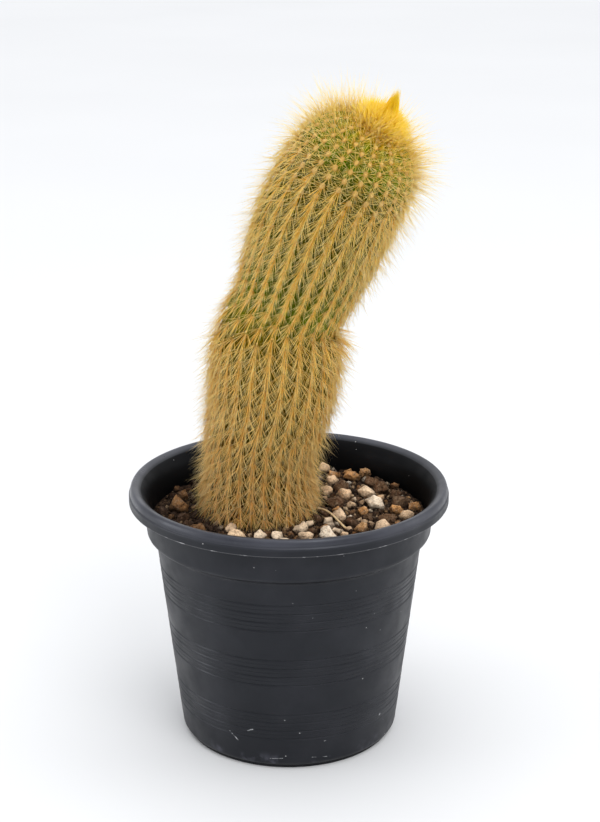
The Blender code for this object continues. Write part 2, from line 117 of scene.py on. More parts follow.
class Sketch:
    """A node tree being drawn. Inputs are given by name or place, as values or as sockets to join."""

    def __init__(self, tree):
        self.tree = tree

    def add(self, kind, inputs=None, output=0, **settings):
        node = self.tree.nodes.new(kind)
        for name, value in settings.items():
            setattr(node, name, value)
        for key, value in (inputs or {}).items():
            socket = find_socket(node.inputs, key)
            if isinstance(value, bpy.types.NodeSocket):
                self.tree.links.new(value, socket)
            else:
                socket.default_value = value
        return find_socket(node.outputs, output)

    def math(self, operation, *values):
        return self.add("ShaderNodeMath", dict(enumerate(values)), operation=operation)

    def times(self, first, second):
        return self.math("MULTIPLY", first, second)

    def over(self, first, second):
        return self.math("DIVIDE", first, second)

    def plus(self, first, second):
        return self.math("ADD", first, second)

    def minus(self, first, second):
        return self.math("SUBTRACT", first, second)

    def vector(self, operation, *values):
        return self.add("ShaderNodeVectorMath", dict(enumerate(values)), operation=operation)

    def spread(self, value, start, end, low=0.0, high=1.0):
        """Map a value from one range to another, clamped and eased."""
        inputs = dict(enumerate((value, start, end, low, high)))
        return self.add("ShaderNodeMapRange", inputs, interpolation_type="SMOOTHSTEP")

    def noise(self, place, scale, detail=2.0, output="Fac"):
        """Cloudy noise, whose scale is in features a metre."""
        return self.add("ShaderNodeTexNoise", {"Vector": place, "Scale": scale, "Detail": detail}, output)

    def scale(self, vector, factor):
        return self.add("ShaderNodeVectorMath", {0: vector, 1: factor}, operation="SCALE")

    def part(self, vector, axis):
        return self.add("ShaderNodeSeparateXYZ", {0: vector}, axis)

    def value(self, label):
        """An attribute that the mesh under a finish carries."""
        return self.add("ShaderNodeAttribute", output="Fac", attribute_name=label)

    def cells(self, place, scale, output="Distance"):
        """Voronoi cells, so many a metre."""
        return self.add("ShaderNodeTexVoronoi", {"Vector": place, "Scale": scale}, output)

    def bump(self, strength, distance, height):
        return self.add("ShaderNodeBump", {"Strength": strength, "Distance": distance, "Height": height})

    def keep(self, geometry, label, value, domain="POINT", kind="FLOAT"):
        """Store a value on geometry under a name."""
        return self.add("GeometryNodeStoreNamedAttribute", {
            "Geometry": geometry, "Name": label, "Value": value}, domain=domain, data_type=kind)

    def mix(self, share, first, second):
        """Blend two colours."""
        return self.add("ShaderNodeMix", {"Factor": share, "A": first, "B": second}, data_type="RGBA")

    def stain(self, colour, share, *stain):
        """Lay a painted colour over another by a share."""
        return self.mix(share, colour, paint(*stain))

    def ramp(self, value, stops):
        """Colours that run between stops of (place, colour)."""
        node = self.tree.nodes.new("ShaderNodeValToRGB")
        self.tree.links.new(value, node.inputs["Fac"])
        elements = node.color_ramp.elements
        elements[0].position, elements[1].position = stops[0][0], stops[-1][0]
        for place, colour in stops[1:-1]:
            elements.new(place)
        for element, (place, colour) in zip(elements, stops):
            element.color = colour
        return node.outputs["Color"]


def paint(red, green, blue):
    """A colour as seen on a screen, from 0 to 255, as the linear light that shaders take."""
    shares = (value / 255 for value in (red, green, blue))
    return (*(s / 12.92 if s < 0.04 else ((s + 0.055) / 1.055) ** 2.4 for s in shares), 1.0)


def tones(*stops):
    """Stops of a ramp, each given as its place, red, green and blue."""
    return [(place, paint(*colour)) for place, *colour in stops]


def new_finish(name, **constants):
    """A material, the sketch of its nodes, its shader, and the object coordinates it reads."""
    material = bpy.data.materials.new(name)
    material.use_nodes = True
    sketch = Sketch(material.node_tree)
    shader = material.node_tree.nodes["Principled BSDF"]
    for label, value in constants.items():
        shader.inputs[label.replace("_", " ")].default_value = value
    return material, sketch, shader, sketch.add("ShaderNodeTexCoord", output="Object")


def wire(sketch, shader, **sockets):
    """Join sockets to the shader's inputs."""
    for label, socket in sockets.items():
        sketch.tree.links.new(socket, shader.inputs[label.replace("_", " ")])


def wall_radius(height):
    """Outer radius of the pot's tapered wall at a height."""
    slope = (WALL_TOP_RADIUS - WALL_FOOT_RADIUS) / (WALL_TOP_Z - WALL_FOOT_Z)
    return WALL_FOOT_RADIUS + slope * (height - WALL_FOOT_Z)


def arc(centre, radii, start, end, steps):
    """Points of an elliptic arc in the (r, z) plane, its ends included."""
    turns = (math.radians(start + (end - start) * step / steps) for step in range(steps + 1))
    return [(centre[0] + radii[0] * math.cos(t), centre[1] + radii[1] * math.sin(t)) for t in turns]


def eased(corners, steps=4):
    """Round an outline of (r, z, rounding) corners off with small curves."""
    outline = []
    for index, (radius, height, rounding) in enumerate(corners):
        here = Vector((radius, height))
        if rounding == 0.0 or index in (0, len(corners) - 1):
            outline.append(tuple(here))
            continue
        legs = [Vector(corners[index + side][:2]) - here for side in (-1, 1)]
        start, end = (here + leg.normalized() * min(rounding, leg.length / 2.05) for leg in legs)
        for step in range(steps + 1):
            share = step / steps
            point = (1 - share) ** 2 * start + 2 * share * (1 - share) * here + share ** 2 * end
            outline.append(tuple(point))
    return outline


def groove_corners():
    """The bands of grooves down the wall, with a fainter groove between each two."""
    corners = []
    for band_top in GROOVE_BAND_TOPS:
        for number in range(2 * GROOVES_IN_BAND - 1):
            height = band_top - number * GROOVE_PITCH / 2
            depth = GROOVE_DEPTH if number % 2 == 0 else FAINT_GROOVE_DEPTH
            corners.append((wall_radius(height), height + 0.8 * depth, 0.4 * depth))
            corners.append((wall_radius(height) - depth, height, 0.3 * depth))
            corners.append((wall_radius(height), height - 2.0 * depth, 0.8 * depth))
    return corners


def pot_outline():
    """Half section of the pot: up the inside, over the rim and down the outside."""
    collar_inside = COLLAR_RADIUS - POT_WALL
    crown_z = POT_HEIGHT - RIM_CROWN_DROP
    corner_z = FLOOR_TOP_Z + 3.0 * MM
    inside = eased([
        (0.0, FLOOR_TOP_Z, 0.0),
        (FOOT_RADIUS - 0.7 * MM, FLOOR_TOP_Z, 1.5 * MM),
        (wall_radius(corner_z) - POT_WALL, corner_z, 1.5 * MM),
        (WALL_TOP_RADIUS - POT_WALL, WALL_TOP_Z + INSIDE_STEP_LIFT, 0.9 * MM),
        (collar_inside, COLLAR_FOOT_Z + INSIDE_STEP_LIFT, 0.9 * MM),
        *(tuple(size * MM for size in corner) for corner in RIM_THROAT),
        (RIM_CROWN_RADIUS - 0.8 * MM, crown_z - 0.1 * MM, 0.0),
    ])
    roll_foot = RIM_LIP_TOP_Z + 0.5 * MM
    roll_radii = (RIM_RADIUS - RIM_CROWN_RADIUS - RIM_STEP, crown_z - roll_foot)
    roll = arc((RIM_CROWN_RADIUS, roll_foot), roll_radii, 90, 0, 8)
    outside = [
        (RIM_RADIUS - RIM_STEP, RIM_LIP_TOP_Z + RIM_STEP / 2, 0.2 * MM),
        (RIM_RADIUS, RIM_LIP_TOP_Z - RIM_STEP / 2, 0.3 * MM),
        (RIM_RADIUS, RIM_LIP_Z, 0.25 * MM),
        (RIM_RADIUS - POT_WALL, RIM_LIP_Z, 0.25 * MM),
        *(tuple(size * MM for size in corner) for corner in RIM_UNDERSIDE),
        (COLLAR_RADIUS, COLLAR_FOOT_Z, 1.3 * MM),
        (WALL_TOP_RADIUS, WALL_TOP_Z, 1.0 * MM),
        *groove_corners(),
        (WALL_FOOT_RADIUS, WALL_FOOT_Z, 0.5 * MM),
        (WALL_FOOT_RADIUS - 0.6 * MM, FOOT_HEIGHT, 0.4 * MM),
        (FOOT_RADIUS, FOOT_HEIGHT, 0.2 * MM),
        (FOOT_RADIUS, 0.0, 0.3 * MM),
        (FOOT_RADIUS - FOOT_WIDTH, 0.0, 0.3 * MM),
        (FOOT_RADIUS - FOOT_WIDTH, FLOOR_UNDER_Z, 0.3 * MM),
        (0.0, FLOOR_UNDER_Z, 0.0),
    ]
    return inside + roll + eased([(*roll[-1], 0.0), *outside])[1:]


def new_object(name, mesh):
    """Put a mesh in the scene under a piece's name."""
    thing = bpy.data.objects.new(name, mesh)
    bpy.context.scene.collection.objects.link(thing)
    return thing


def settle(thing):
    """Turn an object's modifiers into its own mesh."""
    graph = bpy.context.evaluated_depsgraph_get()
    mesh = bpy.data.meshes.new_from_object(thing.evaluated_get(graph))
    thing.modifiers.clear()
    thing.data = mesh


def mould_pot():
    """Turn the half section round the Z axis, then cut the drain holes."""
    outline = bpy.data.meshes.new("nursery_pot")
    points = [(radius, 0.0, height) for radius, height in pot_outline()]
    outline.from_pydata(points, [(i, i + 1) for i in range(len(points) - 1)], [])
    pot = new_object("nursery_pot", outline)
    screw = pot.modifiers.new("turn", "SCREW")
    screw.steps = POT_TURNING_STEPS
    screw.render_steps = POT_TURNING_STEPS
    screw.use_merge_vertices = True
    screw.merge_threshold = 0.001 * MM
    settle(pot)
    cutter = bmesh.new()
    for number in range(DRAIN_HOLES):
        turn = math.tau * (number + 0.5) / DRAIN_HOLES
        x, y = DRAIN_CIRCLE * math.cos(turn), DRAIN_CIRCLE * math.sin(turn)
        bmesh.ops.create_cone(cutter, cap_ends=True, segments=32, radius1=DRAIN_RADIUS, radius2=DRAIN_RADIUS,
                              depth=DRAIN_CUT, matrix=Matrix.Translation((x, y, FLOOR_TOP_Z)))
    drains = bpy.data.meshes.new("drain_cutter")
    cutter.to_mesh(drains)
    cutter.free()
    drill = new_object("drain_cutter", drains)
    cut = pot.modifiers.new("drains", "BOOLEAN")
    cut.operation = "DIFFERENCE"
    cut.object = drill
    settle(pot)
    bpy.data.objects.remove(drill)
    pot.data.shade_smooth()
    pot.data.set_sharp_from_angle(angle=math.radians(35))
    even = pot.modifiers.new("even_shading", "WEIGHTED_NORMAL")
    even.keep_sharp = True
    return pot


def on_wall(turn_degrees, height):
    """A point of the wall's outside, its turn counted from the front towards +X."""
    turn = math.radians(turn_degrees)
    height *= MM
    return Vector((math.sin(turn) * wall_radius(height), -math.cos(turn) * wall_radius(height), height))


def scuff(sketch, place, start, end, width):
    """1 on a short scratch between two points, 0 off it."""
    run = end - start
    from_start = sketch.vector("SUBTRACT", place, start)
    share = sketch.over(sketch.vector("DOT_PRODUCT", from_start, run), run.length_squared)
    share = sketch.add("ShaderNodeClamp", {0: share})
    nearest = sketch.scale(run, share)
    return sketch.spread(sketch.vector("DISTANCE", from_start, nearest), width * 0.5, width * 0.25)


def black_plastic():
    """Charcoal moulded plastic: cloudy dust, a broken pale flash line and painted highlight at the lip,
    specks, scuffs, rim wear and painted sheen, painted shade inside and at the foot.
    """
    material, sketch, shader, place = new_finish("black_plastic", Specular_Tint=(0.88, 0.92, 1.0, 1.0))
    height = sketch.part(place, "Z")
    cloud = sketch.noise(place, 55.0, 4.0)
    grain = sketch.noise(place, 1400.0, 3.0)
    dust = sketch.spread(cloud, 0.4, 0.85, 0.0, 0.10)
    colour = sketch.mix(dust, paint(7, 8, 14), paint(84, 84, 92))
    streaks = sketch.spread(sketch.noise(place, 240.0, 5.0), 0.5, 0.75, 0.0, 0.35)
    foot = sketch.times(sketch.spread(height, 7.0 * MM, 2.6 * MM), streaks)
    colour = sketch.stain(colour, foot, 104, 104, 116)
    # Painted shade: the foot ring and the recess under the wall's lower edge are darkened almost to black.
    colour = sketch.stain(colour, sketch.spread(height, 2.3 * MM, 1.6 * MM), 3, 3, 4)
    # Paler, smoother wear along the rim's top: partly real scuffing, partly painted sheen of light along the
    # roll.
    worn = sketch.times(sketch.spread(height, RIM_LIP_TOP_Z - 1.2 * MM, RIM_LIP_TOP_Z + 1.2 * MM),
                        sketch.spread(cloud, 0.2, 0.8, 0.35, 0.8))
    from_axis = sketch.vector("LENGTH", sketch.vector("MULTIPLY", place, (1.0, 1.0, 0.0)))
    # Painted shade inside the pot: below the rim's throat the same plastic is darkened.
    throat_radius = (RIM_THROAT[-1][0] + 0.3) * MM
    brink = sketch.spread(height, 79.5 * MM, 82.0 * MM, COLLAR_RADIUS - 0.6 * MM, throat_radius)
    inwards = sketch.minus(brink, from_axis)
    inside = sketch.times(sketch.spread(inwards, -0.2 * MM, 0.2 * MM),
                          sketch.spread(height, 69.0 * MM, 70.5 * MM))
    colour = sketch.stain(colour, inside, 10, 10, 11)
    worn = sketch.times(worn, sketch.spread(inwards, 0.0, -1.2 * MM))
    colour = sketch.stain(colour, worn, 68, 69, 77)
    # A pale line round the lip's lower edge: the mould's flash line, and also painted highlight along that
    # edge.
    off_lip = sketch.math("ABSOLUTE", sketch.minus(height, RIM_LIP_Z))
    lip = sketch.times(sketch.math("LESS_THAN", off_lip, 0.3 * MM),
                       sketch.math("GREATER_THAN", from_axis, RIM_RADIUS - 0.8 * MM))
    broken = sketch.spread(sketch.noise(place, 260.0, 3.0), 0.52, 0.72, 0.10, 0.85)
    colour = sketch.stain(colour, sketch.times(lip, broken), 190, 190, 192)
    crumbs = sketch.cells(place, 260.0)
    pick = sketch.spread(sketch.noise(place, 90.0, 1.0), 0.54, 0.60)
    specks = sketch.times(sketch.math("LESS_THAN", crumbs, 0.055), pick)
    colour = sketch.stain(colour, specks, 160, 160, 160)
    for start, end, width in SCUFFS:
        mark = scuff(sketch, place, on_wall(*start), on_wall(*end), width * MM)
        ragged = sketch.times(mark, sketch.spread(grain, 0.35, 0.6, 0.2, 1.0))
        colour = sketch.stain(colour, ragged, 176, 178, 180)
    roughness = sketch.spread(sketch.noise(place, 130.0, 5.0), 0.2, 0.8, 0.36, 0.56)
    roughness = sketch.math("MULTIPLY_ADD", worn, -0.2, roughness)
    turning = sketch.add("ShaderNodeCombineXYZ", {"Z": height})
    relief = sketch.plus(sketch.times(grain, 0.5), sketch.noise(turning, 900.0, 3.0))
    bump = sketch.bump(0.22, 0.08 * MM, relief)
    # Inside the pot the reflection is turned down too, as part of that painted shade.
    wire(sketch, shader, Base_Color=colour, Roughness=roughness, Normal=bump,
         Specular_IOR_Level=sketch.spread(inside, 0.0, 1.0, 0.37, 0.08))
    return material


pot = mould_pot()
pot.data.materials.append(black_plastic())
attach(pot, "root")
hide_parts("pot")

# Potting mix
# The pot is filled by hand with a gritty mix of fine dark compost and pumice sand, settled to about 11 mm
# under the rim. The stem stands in a hole in it, and the larger stones lie loose on top.
GAP = 0.3 * MM
SOIL_LEVEL = 75.5 * MM
SOIL_EDGE_DIP = 1.0 * MM
SOIL_RADIUS = COLLAR_RADIUS - POT_WALL - GAP
STEM_FOOT = Vector((-9.9 * MM, 1.0 * MM))
STEM_FOOT_RADIUS = 16.4 * MM
HOLE_BOTTOM_Z = 61.7 * MM
BED_CORNER_Z = FLOOR_TOP_Z + 3.3 * MM
BED_STEP_LIFT = 1.8 * MM
BED_AROUND = 180
BED_ACROSS = 46
BED_ROUGHNESS = 0.9 * MM


def soil_height(x, y):
    """Height of the mix, which dips a little towards the wall."""
    return SOIL_LEVEL - SOIL_EDGE_DIP * (math.hypot(x, y) / COLLAR_RADIUS) ** 2


def bed_ring(share, height=None, inset=0.0, crumbly=True):
    """A ring of the bed: share 0 is the hole's edge round the stem, and 1 is the pot's wall."""
    ring = []
    for number in range(BED_AROUND):
        turn = math.tau * number / BED_AROUND
        way = Vector((math.cos(turn), math.sin(turn)))
        spot = (STEM_FOOT + way * (STEM_FOOT_RADIUS + GAP)).lerp(way * (SOIL_RADIUS - inset), share)
        level = soil_height(*spot) if height is None else height
        if crumbly:
            coarse = noise.noise(Vector((*spot, 0.0)) / (2.4 * MM))
            fine = noise.noise(Vector((*spot, 0.1)) / (0.9 * MM))
            level += BED_ROUGHNESS * (0.6 * coarse + 0.4 * fine)
        ring.append((spot.x, spot.y, level))
    return ring


def loft(rings, name):
    """Join closed rings, each a list of points, into a skin whose two ends are closed."""
    around = len(rings[0])
    points = [point for ring in rings for point in ring]
    faces = []
    for low in range(0, len(points) - around, around):
        for number in range(around):
            following = (number + 1) % around
            faces.append((low + number, low + following, low + around + following, low + around + number))
    faces.append(tuple(reversed(range(around))))
    faces.append(tuple(range(len(points) - around, len(points))))
    mesh = bpy.data.meshes.new(name)
    mesh.from_pydata(points, [], faces)
    return mesh


def fill_pot():
    """The mix as one closed body: up the stem's hole, over the top, down the wall and under."""
    rings = [bed_ring(1.0, height, inset, False) for height, inset in (
        (FLOOR_TOP_Z + GAP, SOIL_RADIUS - FOOT_RADIUS + 1.0 * MM),
        (BED_CORNER_Z, SOIL_RADIUS - wall_radius(BED_CORNER_Z) + POT_WALL + GAP),
        (WALL_TOP_Z + BED_STEP_LIFT, SOIL_RADIUS - WALL_TOP_RADIUS + POT_WALL + GAP),
        (COLLAR_FOOT_Z + BED_STEP_LIFT, 0.0),
    )]
    rings += [bed_ring(1.0 - step / BED_ACROSS) for step in range(BED_ACROSS + 1)]
    rings.append(bed_ring(0.0, HOLE_BOTTOM_Z, 0.0, False))
    bed = new_object("potting_mix_bed", loft(rings, "potting_mix_bed"))
    bed.data.shade_smooth()
    bed.data.set_sharp_from_angle(angle=math.radians(60))
    return bed


def gritty_mix():
    """Dark compost with paler sand grains of about a millimetre."""
    material, sketch, shader, place = new_finish("gritty_mix", Roughness=0.95, Specular_IOR_Level=0.15)
    grains = sketch.cells(place, 1100.0, "Color")
    tone = sketch.add("ShaderNodeSeparateColor", {0: grains}, "Red")
    colour = sketch.ramp(tone, tones(
        (0.0, 24, 17, 12), (0.6, 44, 30, 21), (0.85, 90, 64, 42), (1.0, 150, 118, 84)))
    clods = sketch.spread(sketch.noise(place, 240.0, 4.0), 0.35, 0.7, 0.0, 0.8)
    colour = sketch.stain(colour, clods, 18, 12, 9)
    edge = sketch.cells(place, 1100.0)
    relief = sketch.plus(sketch.times(edge, -0.7), sketch.noise(place, 2600.0, 3.0))
    bump = sketch.bump(0.9, 0.5 * MM, relief)
    wire(sketch, shader, Base_Color=colour, Normal=bump)
    return material


bed = fill_pot()
bed.data.materials.append(gritty_mix())
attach(bed, "root")
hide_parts("soil")

# Loose stones
# The top layer is tumbled cream pumice, brown lava and dark slate, about 2 to 8 mm across, poured on by hand
# over fine grit. The largest lie where the photo shows them, and the rest are strewn between and behind. In
# the stem's shade on the left only lava and slate are strewn, and the stones there are painted darker as
# shade.
STONE_SEED = 23
STONE_COUNT = 300
SCATTER_TRIES = 60000
LARGE_TRIES = 8000
STONE_SPACING = 0.86
STONE_TILT = 0.35
STONE_CLEARANCE = 1.2 * MM
SCATTER_WIDTHS = (2.6, 3.2, 4.0, 5.0, 6.2)
SMALL_WIDTHS = (1.8, 3.0)
SCATTER_KINDS = {True: (6, 4, 3), False: (0, 3, 8)}  # chances of pumice, lava and slate, in the light or not
GRIT_COUNT = 4600
GRIT_SIZES = (0.4, 0.5, 0.6, 0.8, 1.1, 1.4)
GRIT_CLEARANCE = 0.8 * MM
STONE_SINK = 0.20
SHADY_SIDE_X = -24.0 * MM
CHIP_SHAPES = 12
CHIP_CORNERS = 11
CHIP_REACH = (0.78, 1.18)
CHIP_WEAR = 0.07
GRIT_CORNERS = 8
GOLDEN_TURN = math.pi * (3 - math.sqrt(5))
BIG_STONES = (  # kind, x, y, width, height in mm
    ("pumice", 12.1, 39.2, 5.6, 4.9), ("pumice", 14.7, 27.0, 5.9, 5.2), ("pumice", 12.8, 15.3, 4.4, 5.6),
    ("lava", 21.7, 31.0, 6.9, 5.6), ("lava", 26.3, 35.1, 5.6, 5.6), ("pumice", 18.8, 12.4, 6.1, 5.4),
    ("pumice", 26.0, 14.3, 6.8, 5.4), ("slate", 31.1, 17.2, 6.8, 6.4), ("slate", 36.6, 5.8, 8.0, 5.8),
    ("pumice", 28.9, 3.9, 8.0, 6.2), ("lava", 24.4, -2.5, 4.6, 4.6), ("pumice", 16.1, -7.0, 7.2, 5.2),
    ("lava", 23.5, -17.6, 6.4, 4.2), ("pumice", 30.1, -15.0, 6.4, 4.5), ("lava", 35.3, -13.2, 4.5, 3.6),
    ("pumice", 38.6, -6.1, 5.2, 5.2), ("pumice", 12.5, -23.6, 7.0, 5.7), ("pumice", 5.2, -23.6, 5.7, 3.8),
    ("pumice", 8.4, -30.3, 6.9, 4.0), ("pumice", -1.1, -29.4, 6.9, 4.0), ("pumice", -9.3, -24.4, 5.7, 4.4),
    ("pumice", -16.7, -23.6, 7.6, 4.4), ("lava", -29.7, -17.6, 7.0, 4.4), ("slate", -34.8, -8.8, 5.9, 4.6),
    ("lava", -36.7, 1.1, 7.9, 6.8), ("slate", 17.3, 19.1, 6.8, 6.1), ("slate", 20.5, -12.3, 5.8, 3.9),
    ("slate", 14.9, 3.9, 8.0, 5.3), ("lava", 35.4, -1.2, 5.5, 4.4), ("slate", 28.4, 25.0, 6.9, 4.8),
    ("lava", 15.5, 32.6, 4.9, 4.0), ("slate", 32.6, -8.4, 6.4, 3.8),
)


def new_tree(name, **inputs):
    """A Geometry Nodes tree with named inputs: its sketch, and its inputs' sockets by name."""
    tree = bpy.data.node_groups.new(name, "GeometryNodeTree")
    tree.interface.new_socket("Geometry", in_out="OUTPUT", socket_type="NodeSocketGeometry")
    tree.interface.new_socket("Geometry", in_out="INPUT", socket_type="NodeSocketGeometry")
    for label, kind in inputs.items():
        tree.interface.new_socket(label.replace("_", " "), in_out="INPUT", socket_type="NodeSocket" + kind)
    sockets = {socket.name: socket for socket in tree.nodes.new("NodeGroupInput").outputs}
    return Sketch(tree), sockets


def close_tree(sketch, geometry, material):
    """End a tree: real meshes in place of instances, smooth, with their material."""
    geometry = sketch.add("GeometryNodeRealizeInstances", {"Geometry": geometry})
    geometry = sketch.add("GeometryNodeSetShadeSmooth", {"Geometry": geometry})
    geometry = sketch.add("GeometryNodeSetMaterial", {"Geometry": geometry, "Material": material})
    sketch.tree.links.new(geometry, sketch.tree.nodes.new("NodeGroupOutput").inputs[0])
    return sketch.tree


def read(sketch, label, kind="FLOAT"):
    """An attribute of the points that a tree starts from."""
    return sketch.add("GeometryNodeInputNamedAttribute", {"Name": label}, data_type=kind)


def chance(sketch, low, high, seed):
    """A random number for each point."""
    return sketch.add("FunctionNodeRandomValue", {"Min": low, "Max": high, "Seed": seed})


def points_mesh(name, places, **values):
    """A mesh of loose points, each with its own values for a tree to read."""
    mesh = bpy.data.meshes.new(name)
    mesh.from_pydata([tuple(place) for place in places], [], [])
    for label, row in values.items():
        row = np.asarray(row, float)
        vectors = row.ndim == 2
        attribute = mesh.attributes.new(label, "FLOAT_VECTOR" if vectors else "FLOAT", "POINT")
        attribute.data.foreach_set("vector" if vectors else "value", row.ravel())
    return mesh


def grow(name, start, tree, kept=(), **inputs):
    """Run a tree on a mesh and settle it, dropping the start's values apart from those to be kept."""
    thing = new_object(name, start)
    used = [attribute.name for attribute in start.attributes if attribute.name not in ("position", *kept)]
    modifier = thing.modifiers.new(tree.name, "NODES")
    modifier.node_group = tree
    for item in tree.interface.items_tree:
        label = item.name.replace(" ", "_")
        if label in inputs:
            modifier[item.identifier] = inputs[label]
    settle(thing)
    for label in used:
        if label in thing.data.attributes and not label.startswith("."):
            thing.data.attributes.remove(thing.data.attributes[label])
    return thing


def break_chips(name, corners, wear):
    """A tray of stone chips of unit size, each the hull of a few corners, its edges worn off or sharp."""
    rng = random.Random(STONE_SEED + 2)
    tray = bpy.data.collections.new(name)
    bpy.context.scene.collection.children.link(tray)
    for _ in range(CHIP_SHAPES):
        chip = bmesh.new()
        for corner in range(corners):
            rise = 1 - 2 * (corner + 0.5) / corners
            turn = corner * GOLDEN_TURN + rng.uniform(-0.5, 0.5)
            flat = math.sqrt(1 - rise ** 2)
            way = Vector((flat * math.cos(turn), flat * math.sin(turn), rise))
            chip.verts.new(way * rng.uniform(*CHIP_REACH))
        bmesh.ops.convex_hull(chip, input=chip.verts)
        if wear > 0.0:
            bmesh.ops.bevel(chip, geom=chip.edges, offset=wear, segments=1, affect="EDGES",
                            clamp_overlap=True)
        mesh = bpy.data.meshes.new("chip")
        chip.to_mesh(mesh)
        chip.free()
        tray.objects.link(bpy.data.objects.new("chip", mesh))
    return tray


def pebble_tree():
    """A chip on each point, stretched to its size, tumbled, and pushed out of true by noise."""
    sketch, given = new_tree("pebbles", Chips="Collection", Detail="Int", Ruggedness="Float",
                             Lump_Size="Float", Seed="Int", Finish="Material")
    points = sketch.add("GeometryNodeMeshToPoints", {"Mesh": given["Geometry"]})
    chips = sketch.add("GeometryNodeCollectionInfo", {
        "Collection": given["Chips"], "Separate Children": True, "Reset Children": True})
    turn = sketch.add("FunctionNodeEulerToRotation", {0: read(sketch, "turn", "FLOAT_VECTOR")})
    choice = sketch.add("FunctionNodeRandomValue", {
        "Min": 0, "Max": CHIP_SHAPES - 1, "Seed": given["Seed"]}, data_type="INT")
    pebbles = sketch.add("GeometryNodeInstanceOnPoints", {
        "Points": points, "Instance": chips, "Pick Instance": True, "Instance Index": choice,
        "Rotation": turn, "Scale": read(sketch, "size", "FLOAT_VECTOR")})
    pebbles = sketch.keep(pebbles, "tone", chance(sketch, 0.0, 1.0, given["Seed"]), "INSTANCE")
    pebbles = sketch.add("GeometryNodeRealizeInstances", {"Geometry": pebbles})
    pebbles = sketch.add("GeometryNodeSubdivideMesh", {"Mesh": pebbles, "Level": given["Detail"]})
    here = sketch.add("GeometryNodeInputPosition")
    own = sketch.times(read(sketch, "tone"), 40.0)
    lumps = sketch.add("ShaderNodeTexNoise", {
        "Vector": here, "W": own, "Scale": sketch.over(1.0, given["Lump Size"]), "Detail": 3.0},
        "Color", noise_dimensions="4D")
    push = sketch.scale(sketch.vector("SUBTRACT", lumps, (0.5, 0.5, 0.5)), given["Ruggedness"])
    pebbles = sketch.add("GeometryNodeSetPosition", {"Geometry": pebbles, "Offset": push})
    return close_tree(sketch, pebbles, given["Finish"])


def scatter_stones():
    """Places of all stones by kind: the large ones as seen, then a scatter between and behind them."""
    rng = random.Random(STONE_SEED)
    stones = {"pumice": [], "lava": [], "slate": []}
    placed = []

    def lay(kind, x, y, width, height):
        depth = width * rng.uniform(0.75, 1.0)
        tumble = (rng.uniform(-STONE_TILT, STONE_TILT), rng.uniform(-STONE_TILT, STONE_TILT),
                  rng.uniform(0.0, math.tau))
        level = soil_height(x, y) + height * (0.5 - STONE_SINK)
        stones[kind].append(((x, y, level), (width / 2, depth / 2, height / 2), tumble))
        placed.append((x, y, (width + depth) / 4))

    for kind, x, y, width, height in BIG_STONES:
        lay(kind, x * MM, y * MM, width * MM, height * MM)
    for attempt in range(SCATTER_TRIES):
        if len(placed) == STONE_COUNT:
            break
        width = rng.choice(SCATTER_WIDTHS) * MM * rng.uniform(0.85, 1.1)
        if attempt > LARGE_TRIES:
            width = rng.uniform(*SMALL_WIDTHS) * MM
        out = (SOIL_RADIUS - 0.55 * width) * math.sqrt(rng.random())
        turn = rng.uniform(0.0, math.tau)
        x, y = out * math.cos(turn), out * math.sin(turn)
        if math.hypot(x - STEM_FOOT.x, y - STEM_FOOT.y) < STEM_FOOT_RADIUS + STONE_CLEARANCE + 0.5 * width:
            continue
        if any(math.hypot(x - a, y - b) < STONE_SPACING * (width / 2 + reach) for a, b, reach in placed):
            continue
        kind = rng.choices(tuple(stones), SCATTER_KINDS[x > SHADY_SIDE_X])[0]
        lay(kind, x, y, width, width * rng.uniform(0.6, 0.85))
    return stones


def scatter_grit():
    """Places of the grit all over the bed."""
    rng = random.Random(STONE_SEED + 1)
    grit = []
    while len(grit) < GRIT_COUNT:
        out, turn = SOIL_RADIUS * math.sqrt(rng.random()), rng.uniform(0.0, math.tau)
        x, y = out * math.cos(turn), out * math.sin(turn)
        if math.hypot(x - STEM_FOOT.x, y - STEM_FOOT.y) < STEM_FOOT_RADIUS + GRIT_CLEARANCE:
            continue
        size = rng.choice(GRIT_SIZES) * MM
        if out > SOIL_RADIUS - size:
            continue
        tumble = tuple(rng.uniform(0.0, math.tau) for _ in range(3))
        level = soil_height(x, y) + rng.uniform(0.1, 0.5) * MM
        sizes = (size, size * rng.uniform(0.6, 1.0), size * rng.uniform(0.5, 0.9))
        grit.append(((x, y, level), sizes, tumble))
    return grit


